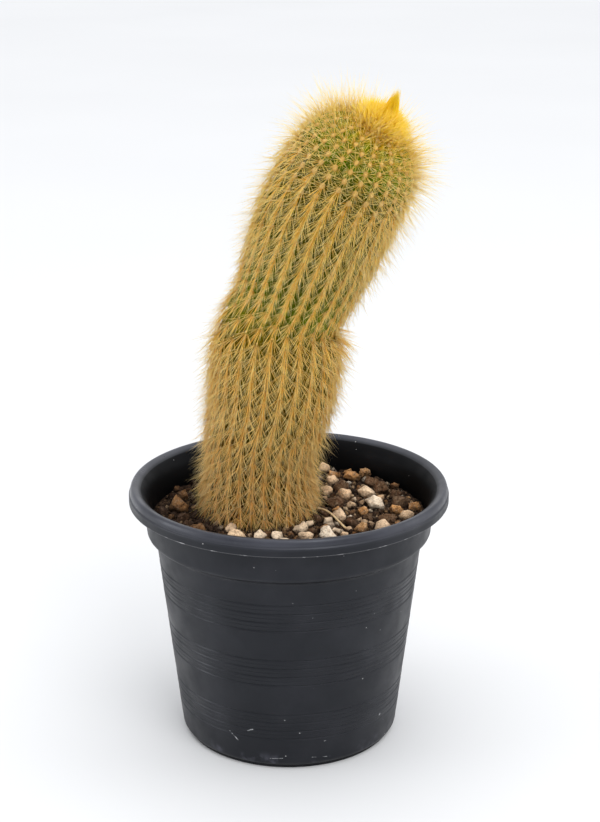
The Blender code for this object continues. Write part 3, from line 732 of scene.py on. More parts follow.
def stone_finish(name, stops, pores, patches, dusting):
    """Stone in one of its kinds: a colour for each stone, mottled, pitted and dusty, darker low down with
    dirt and painted shade, and painted shade on the left.
    """
    material, sketch, shader, place = new_finish(name, Roughness=0.85, Specular_IOR_Level=0.15)
    tone = sketch.value("tone")
    colour = sketch.ramp(tone, tones(*stops))
    mottle = sketch.spread(sketch.noise(place, 500.0, 6.0), 0.46, 0.62, 0.0, patches)
    colour = sketch.stain(colour, mottle, 92, 58, 38)
    pale = sketch.spread(sketch.noise(place, 1000.0, 5.0), 0.52, 0.64, 0.0, dusting)
    colour = sketch.stain(colour, pale, 226, 198, 164)
    pits = sketch.cells(place, 1700.0)
    pit = sketch.spread(pits, 0.28, 0.1, 0.0, pores)
    colour = sketch.stain(colour, pit, 48, 32, 24)
    # Painted shade: stones on the left, in the stem's shade, are darkened.
    across = sketch.part(place, "X")
    painted_shade_left = sketch.spread(across, SHADY_SIDE_X + 5.0 * MM, SHADY_SIDE_X, 0.0, 0.6)
    colour = sketch.stain(colour, painted_shade_left, 46, 30, 22)
    # Darker towards the bed each stone sits in: partly soil dirt, partly painted shade under the stone.
    height = sketch.part(place, "Z")
    dirt_and_shade = sketch.spread(height, SOIL_LEVEL + 2.4 * MM, SOIL_LEVEL, 0.0, 1.0)
    dirt_and_shade = sketch.times(dirt_and_shade, sketch.spread(sketch.noise(place, 700.0, 3.0), 0.25, 0.6, 0.3, 1.0))
    colour = sketch.stain(colour, dirt_and_shade, 44, 30, 20)
    relief = sketch.minus(sketch.noise(place, 1100.0, 6.0), sketch.times(pit, 1.5))
    bump = sketch.bump(1.0, 1.0 * MM, relief)
    wire(sketch, shader, Base_Color=colour, Normal=bump)
    return material


# For each kind: its colours, the strength of its pores, patches and dust, its levels of detail, how far it
# is pushed out of true, and the size of its lumps.
STONE_KINDS = {
    "pumice": (((0.0, 252, 228, 196), (0.3, 236, 198, 156), (0.6, 255, 242, 220), (0.8, 246, 212, 172),
                (1.0, 222, 174, 128)), 0.5, 0.35, 0.5, 1, 1.8 * MM, 1.6 * MM),
    "lava": (((0.0, 150, 108, 70), (0.4, 214, 158, 100), (0.7, 120, 84, 56), (1.0, 228, 176, 118)),
             0.9, 0.6, 0.35, 1, 3.2 * MM, 1.2 * MM),
    "slate": (((0.0, 58, 42, 30), (0.4, 112, 84, 60), (0.75, 42, 30, 22), (1.0, 146, 114, 84)),
              0.9, 0.4, 0.12, 1, 3.6 * MM, 1.2 * MM),
    "grit": (((0.0, 26, 18, 14), (0.5, 56, 38, 26), (0.74, 120, 86, 56), (0.9, 200, 160, 112),
              (1.0, 238, 208, 168)), 0.3, 0.3, 0.3, 0, 0.3 * MM, 0.8 * MM),
}

stone_chips = break_chips("stone_chips", CHIP_CORNERS, CHIP_WEAR)
grit_chips = break_chips("grit_chips", GRIT_CORNERS, 0.0)
pebbles = pebble_tree()
layers = scatter_stones()
layers["grit"] = scatter_grit()
for kind, stones in layers.items():
    stops, pores, patches, dusting, detail, ruggedness, lump_size = STONE_KINDS[kind]
    places, sizes, turns = zip(*stones)
    start = points_mesh(kind, places, size=sizes, turn=turns)
    finish = stone_finish(kind + "_stone", stops, pores, patches, dusting)
    chips = grit_chips if kind == "grit" else stone_chips
    piece = grow(kind + "_stones", start, pebbles, Chips=chips, Detail=detail, Ruggedness=ruggedness,
                 Lump_Size=lump_size, Seed=STONE_SEED, Finish=finish)
    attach(piece, "root")
    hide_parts("soil")
for tray in (stone_chips, grit_chips):
    for chip in list(tray.objects):
        bpy.data.objects.remove(chip)
    bpy.data.collections.remove(tray)

# Straw
# One dry stalk of grass lies on the stones in front of the stem, to the right. It is a little over half a
# millimetre thick, and bent where it dried.
STRAW_LINE = (  # x, y, z in mm
    (9.5, -8.2, 80.0), (12.1, -10.9, 80.6), (14.6, -15.3, 80.2), (16.7, -20.5, 79.4), (18.3, -22.2, 78.6))
STRAW_RADIUS = 0.32 * MM

straw_curve = bpy.data.curves.new("dry_stalk", "CURVE")
straw_curve.dimensions = "3D"
straw_curve.bevel_depth = STRAW_RADIUS
straw_curve.bevel_resolution = 2
straw_curve.use_fill_caps = True
spline = straw_curve.splines.new("NURBS")
spline.points.add(len(STRAW_LINE) - 1)
for point, place in zip(spline.points, STRAW_LINE):
    point.co = (*(value * MM for value in place), 1.0)
spline.use_endpoint_u = True
straw = new_object("dry_stalk", straw_curve)
straw_mesh = bpy.data.meshes.new_from_object(straw.evaluated_get(bpy.context.evaluated_depsgraph_get()))
bpy.data.objects.remove(straw)
straw = new_object("dry_stalk", straw_mesh)
straw.data.shade_smooth()
straw_finish, sketch, shader, place = new_finish("dry_straw", Roughness=0.6)
fibres = sketch.noise(place, 700.0, 4.0)
wire(sketch, shader,
     Base_Color=sketch.ramp(fibres, tones((0.3, 176, 146, 104), (0.7, 234, 208, 160))),
     Normal=sketch.bump(0.4, 0.1 * MM, fibres))
straw.data.materials.append(straw_finish)
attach(straw, "root")
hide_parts("soil")

# Stem
# One living column of green flesh under a waxy skin, grown in one piece and rooted in the mix. It has 26 low
# ribs notched into bumps, a waist where one year's growth stopped, a leaning younger part and a domed head.
RIBS = 26
RIB_DEPTH = 1.3 * MM
RIB_SIDES = 12
STEM_LINE = np.array((  # x, y, z, radius in mm, share of the full rib depth
    (-9.9, 1.0, 62.0, 7.0, 0.0),
    (-9.9, 1.0, 65.0, 11.0, 0.0),
    (-9.9, 1.0, 70.0, 14.6, 0.0),
    (-9.9, 1.0, 75.8, 16.4, 0.0),
    (-9.9, 1.0, 80.0, 17.3, 0.6),
    (-9.9, 1.0, 85.5, 17.0, 1.0),
    (-9.6, 1.0, 92.5, 16.3, 1.0),
    (-8.6, 1.2, 103.0, 17.2, 1.0),
    (-6.2, 1.5, 113.2, 18.6, 1.0),
    (-4.6, 1.8, 123.4, 19.5, 1.0),
    (-3.6, 2.0, 131.9, 19.5, 1.0),
    (-2.8, 2.0, 138.7, 18.3, 1.0),
    (-1.5, 2.0, 143.2, 17.1, 0.9),
    (0.8, 2.0, 147.6, 17.3, 0.9),
    (2.8, 1.8, 152.3, 18.1, 1.0),
    (7.2, 1.0, 163.3, 19.4, 1.0),
    (11.3, -0.5, 173.8, 20.2, 1.0),
    (16.3, -3.0, 184.6, 20.0, 1.0),
    (20.0, -5.2, 191.0, 19.4, 1.0),
))
DOME_HEIGHT = 16.4 * MM
CROWN_SEAT_RADIUS = 6.0 * MM
SECTION_STEP = 0.9 * MM
BUMP_HEIGHT = 0.55 * MM

line_centre = STEM_LINE[:, :3] * MM
line_radius = STEM_LINE[:, 3] * MM
line_depth = STEM_LINE[:, 4] * RIB_DEPTH
line_marks = np.append(0.0, np.cumsum(np.linalg.norm(np.diff(line_centre, axis=0), axis=1)))
SIDE_LENGTH = line_marks[-1]
DOME_END = math.acos(CROWN_SEAT_RADIUS / line_radius[-1])
STEM_LENGTH = SIDE_LENGTH + line_radius[-1] * DOME_END
SOIL_MARK = float(np.interp(SOIL_LEVEL, line_centre[:, 2], line_marks))


def unit(vectors):
    return vectors / np.linalg.norm(vectors, axis=-1, keepdims=True)


def along_line(mark, values):
    """Smooth values at distances up the stem, through the rows of its table."""
    marks = line_marks.reshape(-1, *[1] * (values.ndim - 1))
    slopes = np.empty_like(values)
    slopes[1:-1] = (values[2:] - values[:-2]) / (marks[2:] - marks[:-2])
    slopes[0] = (values[1] - values[0]) / (marks[1] - marks[0])
    slopes[-1] = (values[-1] - values[-2]) / (marks[-1] - marks[-2])
    row = np.clip(np.searchsorted(line_marks, mark, side="right") - 1, 0, len(line_marks) - 2)
    span = marks[row + 1] - marks[row]
    part = mark.reshape(-1, *[1] * (values.ndim - 1)) - marks[row]
    part = part / span
    return (values[row] * (2 * part ** 3 - 3 * part ** 2 + 1)
            + slopes[row] * span * (part ** 3 - 2 * part ** 2 + part)
            + values[row + 1] * (3 * part ** 2 - 2 * part ** 3)
            + slopes[row + 1] * span * (part ** 3 - part ** 2))


def stem_sections(mark):
    """Centre, the two directions across, radius and rib depth at distances up the stem and over its dome."""
    side = np.clip(mark, 0.0, SIDE_LENGTH)
    low, high = np.maximum(side - MM, 0.0), np.minimum(side + MM, SIDE_LENGTH)
    axis = unit(along_line(high, line_centre) - along_line(low, line_centre))
    angle = np.clip((mark - SIDE_LENGTH) / line_radius[-1], 0.0, DOME_END)
    centre = along_line(side, line_centre) + axis * (DOME_HEIGHT * np.sin(angle))[:, None]
    radius = along_line(side, line_radius) * np.cos(angle)
    depth = along_line(side, line_depth) * np.sqrt(np.cos(angle))
    across = unit(np.cross((0.0, 1.0, 0.0), axis))
    return centre, across, np.cross(axis, across), radius, depth


def on_crest(mark, turn):
    """Points on the ribs' crests."""
    centre, across, beside, radius, _ = stem_sections(mark)
    out = across * np.cos(turn)[:, None] + beside * np.sin(turn)[:, None]
    return centre + out * radius[:, None]


def height_share(mark):
    """0 at the potting mix and 1 at the crown."""
    return (mark - SOIL_MARK) / (STEM_LENGTH - SOIL_MARK)


# Distance in mm between areoles up a rib, at shares of the stem's height: they are closest round the crown.
AREOLE_STEPS = ((0.0, 4.1), (0.75, 4.2), (0.9, 3.6), (1.0, 2.6))
AREOLE_FIRST_MARK = SOIL_MARK + 4.0 * MM

count_marks = np.linspace(AREOLE_FIRST_MARK, STEM_LENGTH, 800)
step_places, steps = np.transpose(AREOLE_STEPS)
rate = 1.0 / (np.interp(height_share(count_marks), step_places, steps) * MM)
areole_count = np.append(0.0, np.cumsum((rate[1:] + rate[:-1]) / 2 * np.diff(count_marks)))


def skin_tree():
    """The ribbed, bumpy skin round a line of sections, each a point with its own directions and sizes."""
    sketch, given = new_tree("ribbed_skin", Sections="Int", Around="Int", Ribs="Int", Bump_Height="Float",
                             Finish="Material")
    columns = sketch.plus(given["Around"], 1.0)
    grid = sketch.add("GeometryNodeMeshGrid", {"Vertices X": columns, "Vertices Y": given["Sections"]})
    index = sketch.add("GeometryNodeInputIndex")
    column = sketch.math("FLOOR", sketch.over(sketch.plus(index, 0.5), given["Sections"]))
    row = sketch.minus(index, sketch.times(column, given["Sections"]))
    row = sketch.add("FunctionNodeFloatToInt", {0: row})

    def section(value, kind):
        return sketch.add("GeometryNodeSampleIndex", {
            "Geometry": given["Geometry"], "Value": value, "Index": row}, data_type=kind)

    turn = sketch.times(sketch.over(column, given["Around"]), math.tau)
    rib_turn = sketch.times(turn, given["Ribs"])
    crest = sketch.math("MULTIPLY_ADD", sketch.math("COSINE", rib_turn), 0.5, 0.5)
    rib = sketch.math("ROUND", sketch.over(rib_turn, math.tau))
    odd = sketch.times(sketch.math("MODULO", rib, 2.0), math.pi)
    count = section(read(sketch, "count"), "FLOAT")
    wave = sketch.math("COSINE", sketch.minus(sketch.times(count, math.tau), odd))
    bump = sketch.times(sketch.times(wave, crest), given["Bump Height"])
    depth = section(read(sketch, "depth"), "FLOAT")
    drop = sketch.times(sketch.minus(1.0, crest), depth)
    radius = sketch.minus(section(read(sketch, "radius"), "FLOAT"), drop)
    scale = sketch.times(bump, sketch.spread(depth, 0.0, 1.0 * MM))
    radius = sketch.plus(radius, scale)
    across = section(read(sketch, "across", "FLOAT_VECTOR"), "FLOAT_VECTOR")
    beside = section(read(sketch, "beside", "FLOAT_VECTOR"), "FLOAT_VECTOR")
    way = sketch.vector("ADD", sketch.scale(across, sketch.math("COSINE", turn)),
                        sketch.scale(beside, sketch.math("SINE", turn)))
    centre = section(sketch.add("GeometryNodeInputPosition"), "FLOAT_VECTOR")
    place = sketch.vector("ADD", centre, sketch.scale(way, radius))
    skin = sketch.add("GeometryNodeSetPosition", {"Geometry": grid, "Position": place})
    skin = sketch.keep(skin, "crest", crest)
    skin = sketch.keep(skin, "share", section(read(sketch, "share"), "FLOAT"))
    skin = sketch.add("GeometryNodeMergeByDistance", {"Geometry": skin, "Distance": 0.002 * MM})
    return close_tree(sketch, skin, given["Finish"])


def section_points():
    """The line of sections, drawn in to a point at the root end and under the crown."""
    marks = np.linspace(0.0, STEM_LENGTH, int(STEM_LENGTH / SECTION_STEP))
    marks = np.concatenate(([0.0], marks, [STEM_LENGTH]))
    centre, across, beside, radius, depth = stem_sections(marks)
    radius[[0, -1]] = 0.0
    depth[[0, -1]] = 0.0
    count = np.interp(marks, count_marks, areole_count)
    return points_mesh("stem_sections", centre, across=across, beside=beside, radius=radius, depth=depth,
                       count=count, share=height_share(marks))


def green_skin():
    """Waxy skin: brown at the foot, green at the waist and head, painted shade in the valleys, and gold at
    the crown painted as light under the tuft.
    """
    material, sketch, shader, place = new_finish("green_skin", Roughness=0.6, Specular_IOR_Level=0.1,
                                                 Specular_Tint=(1.0, 0.95, 0.5, 1.0))
    share = sketch.value("share")
    crest = sketch.value("crest")
    # The gold at the top of this ramp is painted light that lifts the shade under the crown's tuft.
    colour = sketch.ramp(share, tones(
        (0.0, 66, 38, 12), (0.10, 80, 50, 8), (0.25, 92, 66, 2), (0.42, 98, 78, 0), (0.49, 98, 118, 0),
        (0.56, 84, 92, 0), (0.72, 80, 69, 0), (0.84, 74, 74, 0), (0.90, 98, 128, 0), (0.96, 122, 130, 6),
        (1.0, 228, 176, 24)))
    # Painted shade in the valleys between the ribs.
    valley_shade = sketch.spread(crest, 0.7, 0.0, 0.0, 0.5)
    colour = sketch.stain(colour, valley_shade, 44, 42, 2)
    speckle = sketch.spread(sketch.noise(place, 1500.0, 4.0), 0.5, 0.8, 0.0, 0.25)
    colour = sketch.stain(colour, speckle, 120, 132, 16)
    blotch = sketch.spread(sketch.noise(place, 90.0, 3.0), 0.4, 0.75, 0.0, 0.3)
    colour = sketch.stain(colour, blotch, 52, 64, 10)
    bump = sketch.bump(0.35, 0.2 * MM, sketch.noise(place, 1800.0, 4.0))
    wire(sketch, shader, Base_Color=colour, Normal=bump)
    return material


sections = section_points()
stem = grow("ribbed_stem", sections, skin_tree(), kept=("share",), Sections=len(sections.vertices),
            Around=RIBS * RIB_SIDES, Ribs=RIBS, Bump_Height=BUMP_HEIGHT, Finish=green_skin())
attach(stem, "root")
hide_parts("stem")

# Areoles
# Each bump of a rib carries an areole, a low cushion of short tan wool about two millimetres across, out of
# which the spines grow. They stand in rows up the ribs, staggered by half a step from one rib to the next.
PAD_SEED = 3
PAD_SIZE = (1.0 * MM, 1.25 * MM, 0.45 * MM)
PAD_SCALES = ((0.0, 0.4), (0.72, 0.4), (0.82, 0.9), (1.0, 0.6))  # share of the height, and scale
CROWN_CLEAR_STEPS = 0.4
CROWDED_STEPS = 3.2


def areoles():
    """Every areole: its distance up the stem and its turn. By the crown only every other rib has one."""
    marks, turns = [], []
    for rib in range(RIBS):
        numbers = np.arange(0.5 * (rib % 2), areole_count[-1] - CROWN_CLEAR_STEPS, 1.0)
        crowded = (numbers > areole_count[-1] - CROWDED_STEPS) & (rib % 2 == 1)
        rib_marks = np.interp(numbers[~crowded], areole_count, count_marks)
        marks.append(rib_marks)
        turns.append(np.full(len(rib_marks), math.tau * rib / RIBS))
    return np.concatenate(marks), np.concatenate(turns)


def areole_points(name, marks, turns, **values):
    """Points at areoles, with the directions out of the skin and up the rib."""
    step = 0.5 * MM
    upward = unit(on_crest(marks + step, turns) - on_crest(marks - step, turns))
    _, across, beside, _, _ = stem_sections(marks)
    sideways = beside * np.cos(turns)[:, None] - across * np.sin(turns)[:, None]
    outward = unit(np.cross(sideways, upward))
    places = on_crest(marks, turns) + outward * 0.6 * BUMP_HEIGHT
    return points_mesh(name, places, outward=outward, upward=upward, share=height_share(marks), **values)


def pad_tree():
    """A low round cushion on each point, facing outward."""
    sketch, given = new_tree("wool_pads", Seed="Int", Finish="Material")
    points = sketch.add("GeometryNodeMeshToPoints", {"Mesh": given["Geometry"]})
    ball = sketch.add("GeometryNodeMeshUVSphere", {"Segments": 8, "Rings": 5, "Radius": 1.0})
    turn = sketch.add("FunctionNodeAxesToRotation", {
        "Primary Axis": read(sketch, "outward", "FLOAT_VECTOR"),
        "Secondary Axis": read(sketch, "upward", "FLOAT_VECTOR")}, primary_axis="Z", secondary_axis="Y")
    pads = sketch.add("GeometryNodeInstanceOnPoints", {
        "Points": points, "Instance": ball, "Rotation": turn, "Scale": read(sketch, "size", "FLOAT_VECTOR")})
    pads = sketch.keep(pads, "tone", chance(sketch, 0.0, 1.0, given["Seed"]), "INSTANCE")
    return close_tree(sketch, pads, given["Finish"])


def areole_wool():
    """Short felted wool, brown with age at the foot, tan on the column and golden at the head."""
    material, sketch, shader, place = new_finish("areole_wool", Roughness=0.95, Sheen_Weight=0.4)
    share = sketch.value("share")
    colour = sketch.ramp(share, tones(
        (0.0, 140, 96, 56), (0.2, 170, 124, 60), (0.5, 190, 144, 60), (0.8, 196, 156, 84),
        (1.0, 228, 184, 80)))
    fluff = sketch.noise(place, 3800.0, 4.0)
    colour = sketch.stain(colour, sketch.spread(fluff, 0.3, 0.7, 0.0, 0.6), 222, 190, 116)
    bump = sketch.bump(0.8, 0.2 * MM, fluff)
    wire(sketch, shader, Base_Color=colour, Normal=bump)
    return material


areole_marks, areole_turns = areoles()
pad_scale = np.interp(height_share(areole_marks), *np.transpose(PAD_SCALES))
pad_points = areole_points("pads", areole_marks, areole_turns, size=np.outer(pad_scale, PAD_SIZE))
pads = grow("areole_wool_pads", pad_points, pad_tree(), kept=("share",), Seed=PAD_SEED, Finish=areole_wool())
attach(pads, "root")
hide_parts("stem")

# Spines
# Each areole grows a fan of fine straw-coloured radial spines, which lie over the skin, a few longer golden
# centrals that comb down the rib, and looser bristles that stand past both. Round the head, stars of thin
# spines take the centrals' place. All are needles of horn that grow out of the wool and are never shed.
SPINE_SEED = 41
WAIST_SHARE = 0.48
CENTRALS_END_SHARE = 0.84
STARS_START_SHARE = 0.76
SPINE_JOINTS = 2
SPINE_ROOT_DOWN = 0.45 * MM
SPINE_ROOT_DEPTH = 0.25 * MM
# Share of the height, half the fan and lift off the skin in degrees, and length in mm.
RADIAL_HABIT = (
    (0.00, 75, 34, 8.0), (0.12, 60, 24, 8.8), (0.42, 54, 20, 9.2), (0.47, 58, 18, 6.4), (0.52, 48, 14, 4.2),
    (0.58, 46, 14, 5.4), (0.64, 50, 18, 7.5), (0.76, 58, 18, 7.5), (0.86, 180, 18, 4.6),
    (1.00, 180, 30, 3.0))
CENTRAL_HABIT = (
    (0.00, 50, 38, 9.0), (0.12, 12, 18, 12.0), (0.42, 10, 14, 13.0), (0.47, 20, 22, 11.0),
    (0.52, 8, 10, 13.0), (0.76, 9, 13, 13.5), (0.85, 30, 30, 9.0), (1.00, 180, 60, 6.0))
BRISTLE_HABIT = (
    (0.00, 70, 40, 8.5), (0.12, 65, 46, 11.0), (0.42, 65, 50, 12.0), (0.48, 60, 44, 8.0),
    (0.56, 60, 44, 9.0), (0.64, 65, 50, 12.0), (0.75, 70, 50, 12.5), (0.86, 120, 66, 13.5),
    (0.93, 150, 66, 17.0), (1.00, 180, 70, 14.5))
STAR_HABIT = ((0.76, 180, 55, 3.5), (0.84, 180, 62, 5.4), (0.90, 180, 62, 7.0), (1.00, 180, 61, 9.5))


def spine_tree():
    """A cluster of spines on each point, fanned about its downward side, lifted off the skin and bowed."""
    sketch, given = new_tree("spine_clusters", Spines="Int", Joints="Int", Thickness="Float",
                             Lift_Spread="Float", Shortest="Float", Bow="Float", Seed="Int",
                             Finish="Material")
    points = sketch.add("GeometryNodeMeshToPoints", {"Mesh": given["Geometry"]})
    duplicate = sketch.tree.nodes.new("GeometryNodeDuplicateElements")
    duplicate.domain = "POINT"
    sketch.tree.links.new(points, duplicate.inputs["Geometry"])
    sketch.tree.links.new(given["Spines"], duplicate.inputs["Amount"])
    jitter = chance(sketch, 0.0, 1.0, given["Seed"])
    number = sketch.plus(duplicate.outputs["Duplicate Index"], jitter)
    part = sketch.math("MULTIPLY_ADD", sketch.over(number, given["Spines"]), 2.0, -1.0)
    angle = sketch.times(part, read(sketch, "fan"))
    spread = given["Lift Spread"]
    lift = sketch.plus(read(sketch, "lift"), chance(
        sketch, sketch.times(spread, -1.0), spread, sketch.plus(given["Seed"], 1.0)))
    outward = read(sketch, "outward", "FLOAT_VECTOR")
    upward = read(sketch, "upward", "FLOAT_VECTOR")
    sideways = sketch.vector("CROSS_PRODUCT", upward, outward)
    down = sketch.times(sketch.math("COSINE", angle), -1.0)
    across = sketch.scale(sideways, sketch.math("SINE", angle))
    flat = sketch.vector("ADD", sketch.scale(upward, down), across)
    way = sketch.vector("ADD", sketch.scale(flat, sketch.math("COSINE", lift)),
                        sketch.scale(outward, sketch.math("SINE", lift)))
    root = sketch.vector("SUBTRACT", sketch.scale(flat, SPINE_ROOT_DOWN),
                         sketch.scale(outward, SPINE_ROOT_DEPTH))
    points = sketch.add("GeometryNodeSetPosition", {
        "Geometry": duplicate.outputs["Geometry"], "Offset": root})

    needle = sketch.add("GeometryNodeMeshCone", {
        "Vertices": 3, "Side Segments": given["Joints"], "Radius Top": 0.0, "Radius Bottom": 1.0,
        "Depth": 1.0})
    here = sketch.add("GeometryNodeInputPosition")
    along = sketch.part(here, "Z")
    needle = sketch.keep(needle, "along", along)
    swell = sketch.math("MULTIPLY_ADD", sketch.math("COMPARE", along, 0.5, 0.1), 0.7, 1.0)
    girth = sketch.add("ShaderNodeCombineXYZ", {"X": swell, "Y": swell, "Z": 1.0})
    needle = sketch.add("GeometryNodeSetPosition", {
        "Geometry": needle, "Position": sketch.vector("MULTIPLY", here, girth)})

    bowed = sketch.vector("SUBTRACT", sketch.scale(upward, -1.0), outward)
    turn = sketch.add("FunctionNodeAxesToRotation", {"Primary Axis": way, "Secondary Axis": bowed},
                      primary_axis="Z", secondary_axis="X")
    reach = sketch.times(read(sketch, "length"),
                         chance(sketch, given["Shortest"], 1.0, sketch.plus(given["Seed"], 2.0)))
    size = sketch.add("ShaderNodeCombineXYZ", {"X": given["Thickness"], "Y": given["Thickness"], "Z": reach})
    spines = sketch.add("GeometryNodeInstanceOnPoints", {
        "Points": points, "Instance": needle, "Rotation": turn, "Scale": size})
    tone = chance(sketch, 0.0, 1.0, sketch.plus(given["Seed"], 3.0))
    bend = sketch.scale(bowed, sketch.times(given["Bow"], reach))
    spines = sketch.keep(spines, "tone", tone, "INSTANCE")
    spines = sketch.keep(spines, "bend", bend, "INSTANCE", "FLOAT_VECTOR")
    spines = sketch.add("GeometryNodeRealizeInstances", {"Geometry": spines})
    squared = sketch.math("POWER", read(sketch, "along"), 2.0)
    sag = sketch.scale(read(sketch, "bend", "FLOAT_VECTOR"), squared)
    spines = sketch.add("GeometryNodeSetPosition", {"Geometry": spines, "Offset": sag})
    return close_tree(sketch, spines, given["Finish"])


def spine_finish(name, stops, tip, shade):
    """Horn: a colour for each height up the plant, and each spine its own tone, paler towards its tip,
    partly painted light, and deeper towards its root as painted shade.
    """
    material, sketch, shader, place = new_finish(name, Roughness=0.45, Specular_IOR_Level=0.12,
                                                 Specular_Tint=(1.0, 0.88, 0.5, 1.0),
                                                 Subsurface_Weight=0.35, Subsurface_Scale=0.15 * MM,
                                                 Subsurface_Radius=(1.0, 1.0, 1.0))
    share = sketch.value("share")
    tone = sketch.value("tone")
    along = sketch.value("along")
    colour = sketch.ramp(share, tones(*stops))
    colour = sketch.mix(sketch.spread(tone, 0.45, 1.0, 0.0, 0.6), colour, shade)
    colour = sketch.mix(sketch.spread(tone, 0.35, 0.0, 0.0, 0.5), colour, tip)
    # Along each spine: paler to the tip, partly its own colour and partly painted light where the tips stand
    # out lit; deeper to the root, painted shade near the skin.
    colour = sketch.mix(sketch.spread(along, 0.35, 1.0, 0.0, 0.55), colour, tip)
    colour = sketch.mix(sketch.spread(along, 0.6, 0.0, 0.0, 0.7), colour, shade)
    streak = sketch.spread(sketch.noise(place, 2200.0, 2.0), 0.4, 0.7, 0.0, 0.2)
    colour = sketch.mix(streak, colour, shade)
    bump = sketch.bump(0.2, 0.03 * MM, sketch.noise(place, 5000.0, 2.0))
    wire(sketch, shader, Base_Color=colour, Normal=bump)
    return material


# Share of the height, red, green and blue.
RADIAL_COLOURS = (
    (0.0, 250, 194, 130), (0.08, 254, 204, 134), (0.25, 255, 208, 118), (0.48, 252, 210, 104),
    (0.75, 255, 220, 110), (0.9, 255, 224, 110), (1.0, 255, 206, 48))
CENTRAL_COLOURS = (
    (0.0, 238, 172, 124), (0.08, 250, 190, 122), (0.25, 252, 198, 106), (0.48, 255, 206, 90),
    (0.75, 255, 210, 82), (1.0, 255, 208, 52))
BRISTLE_COLOURS = (
    (0.0, 255, 208, 130), (0.3, 255, 214, 120), (0.76, 255, 220, 128), (0.9, 255, 224, 134),
    (0.95, 255, 214, 86), (1.0, 255, 204, 40))
STAR_COLOURS = ((0.76, 255, 220, 130), (0.9, 255, 220, 116), (0.95, 255, 208, 56), (1.0, 255, 200, 24))


def grow_clusters(name, start, finish, number, thickness, bow, spread, shortest, seed):
    """Grow so many spines on each point, their thickness in mm, their lift spread by degrees each way."""
    return grow(name, start, spine_tree(), kept=("share",), Spines=number, Joints=SPINE_JOINTS,
                Thickness=thickness * MM, Lift_Spread=math.radians(spread), Shortest=shortest, Bow=bow,
                Seed=seed, Finish=finish)


shares = height_share(areole_marks)
radial_finish = spine_finish("radial_spine", RADIAL_COLOURS, paint(255, 242, 166), paint(204, 142, 30))
central_finish = spine_finish("central_spine", CENTRAL_COLOURS, paint(255, 238, 150), paint(234, 152, 26))
bristle_finish = spine_finish("bristle", BRISTLE_COLOURS, paint(255, 240, 180), paint(250, 198, 100))
star_finish = spine_finish("star_spine", STAR_COLOURS, paint(255, 234, 150), paint(255, 200, 76))
# For each piece: its areoles, habit, finish, spines to an areole, their thickness in mm, their bow, the
# spread of their lift in degrees, the shortest as a share of the longest, and the seed.
spine_kinds = (
    ("radial_spines_old_growth", shares < WAIST_SHARE, RADIAL_HABIT,
     radial_finish, 12, 0.078, 0.03, 16, 0.5, SPINE_SEED),
    ("radial_spines_new_growth", shares >= WAIST_SHARE, RADIAL_HABIT,
     radial_finish, 12, 0.078, 0.03, 12, 0.6, SPINE_SEED),
    ("central_spines", shares < CENTRALS_END_SHARE, CENTRAL_HABIT,
     central_finish, 6, 0.085, 0.05, 7, 0.6, SPINE_SEED + 10),
    ("star_spines_at_head", shares > STARS_START_SHARE, STAR_HABIT,
     star_finish, 13, 0.05, 0.0, 18, 0.3, SPINE_SEED + 30),
    ("long_bristles", slice(None), BRISTLE_HABIT,
     bristle_finish, 11, 0.047, 0.05, 18, 0.35, SPINE_SEED + 20))

for name, chosen, habit, *growth in spine_kinds:
    places, fan, lift, length = np.transpose(habit)
    share = shares[chosen]
    start = areole_points(name, areole_marks[chosen], areole_turns[chosen],
                          fan=np.radians(np.interp(share, places, fan)),
                          lift=np.radians(np.interp(share, places, lift)),
                          length=np.interp(share, places, length) * MM)
    piece = grow_clusters(name, start, *growth)
    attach(piece, "root")
    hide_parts("stem")

# Crown tuft
# The growing point in the middle of the head is hidden by this season's spines, still soft and deep gold.
# They stand up as a dense brush on a low woolly cap, and one lock is drawn to a point that leans right.
CROWN_SEED = 17
CROWN_CAP_RADIUS = 6.4 * MM
CROWN_CAP_HEIGHT = 3.0 * MM
CROWN_CAP_RINGS = 13
CROWN_CAP_SIDES = 48
CROWN_FLUFF = 0.12 * MM
BRUSH_CLUSTERS = 380
BRUSH_OVERHANG = 1.12
BRUSH_SPREAD = math.radians(52)
BRUSH_LENGTHS = (5.0, 8.5)
BRUSH_LIFT = math.radians(72)
LOCK_STRANDS = 210
LOCK_SHIFT = 1.4 * MM
LOCK_ROOT_RADIUS = 3.5 * MM
LOCK_REACH = 13.0 * MM
LOCK_LEAN = Vector((0.30, -0.12, 0.94)).normalized()
LOCK_LIFT = math.radians(89.7)

crown_centre, crown_across, crown_beside, _, _ = (
    values[0] for values in stem_sections(np.array([STEM_LENGTH])))
crown_axis = np.cross(crown_across, crown_beside)


def crown_cap():
    """The low dome of wool that the tuft grows from, turned round the head's axis."""
    rings = []
    for step in range(CROWN_CAP_RINGS):
        rise = math.pi / 2 * step / CROWN_CAP_RINGS
        radius, height = CROWN_CAP_RADIUS * math.cos(rise), CROWN_CAP_HEIGHT * math.sin(rise)
        ring = []
        for number in range(CROWN_CAP_SIDES):
            turn = math.tau * number / CROWN_CAP_SIDES
            way = crown_across * math.cos(turn) + crown_beside * math.sin(turn)
            spot = Vector((radius * math.cos(turn), radius * math.sin(turn), height)) / MM
            fluff = CROWN_FLUFF * noise.noise(spot)
            ring.append(tuple(crown_centre + way * radius + crown_axis * (height + fluff)))
        rings.append(ring)
    cap = new_object("crown_wool_cap", loft(rings, "crown_wool_cap"))
    cap.data.shade_smooth()
    return cap


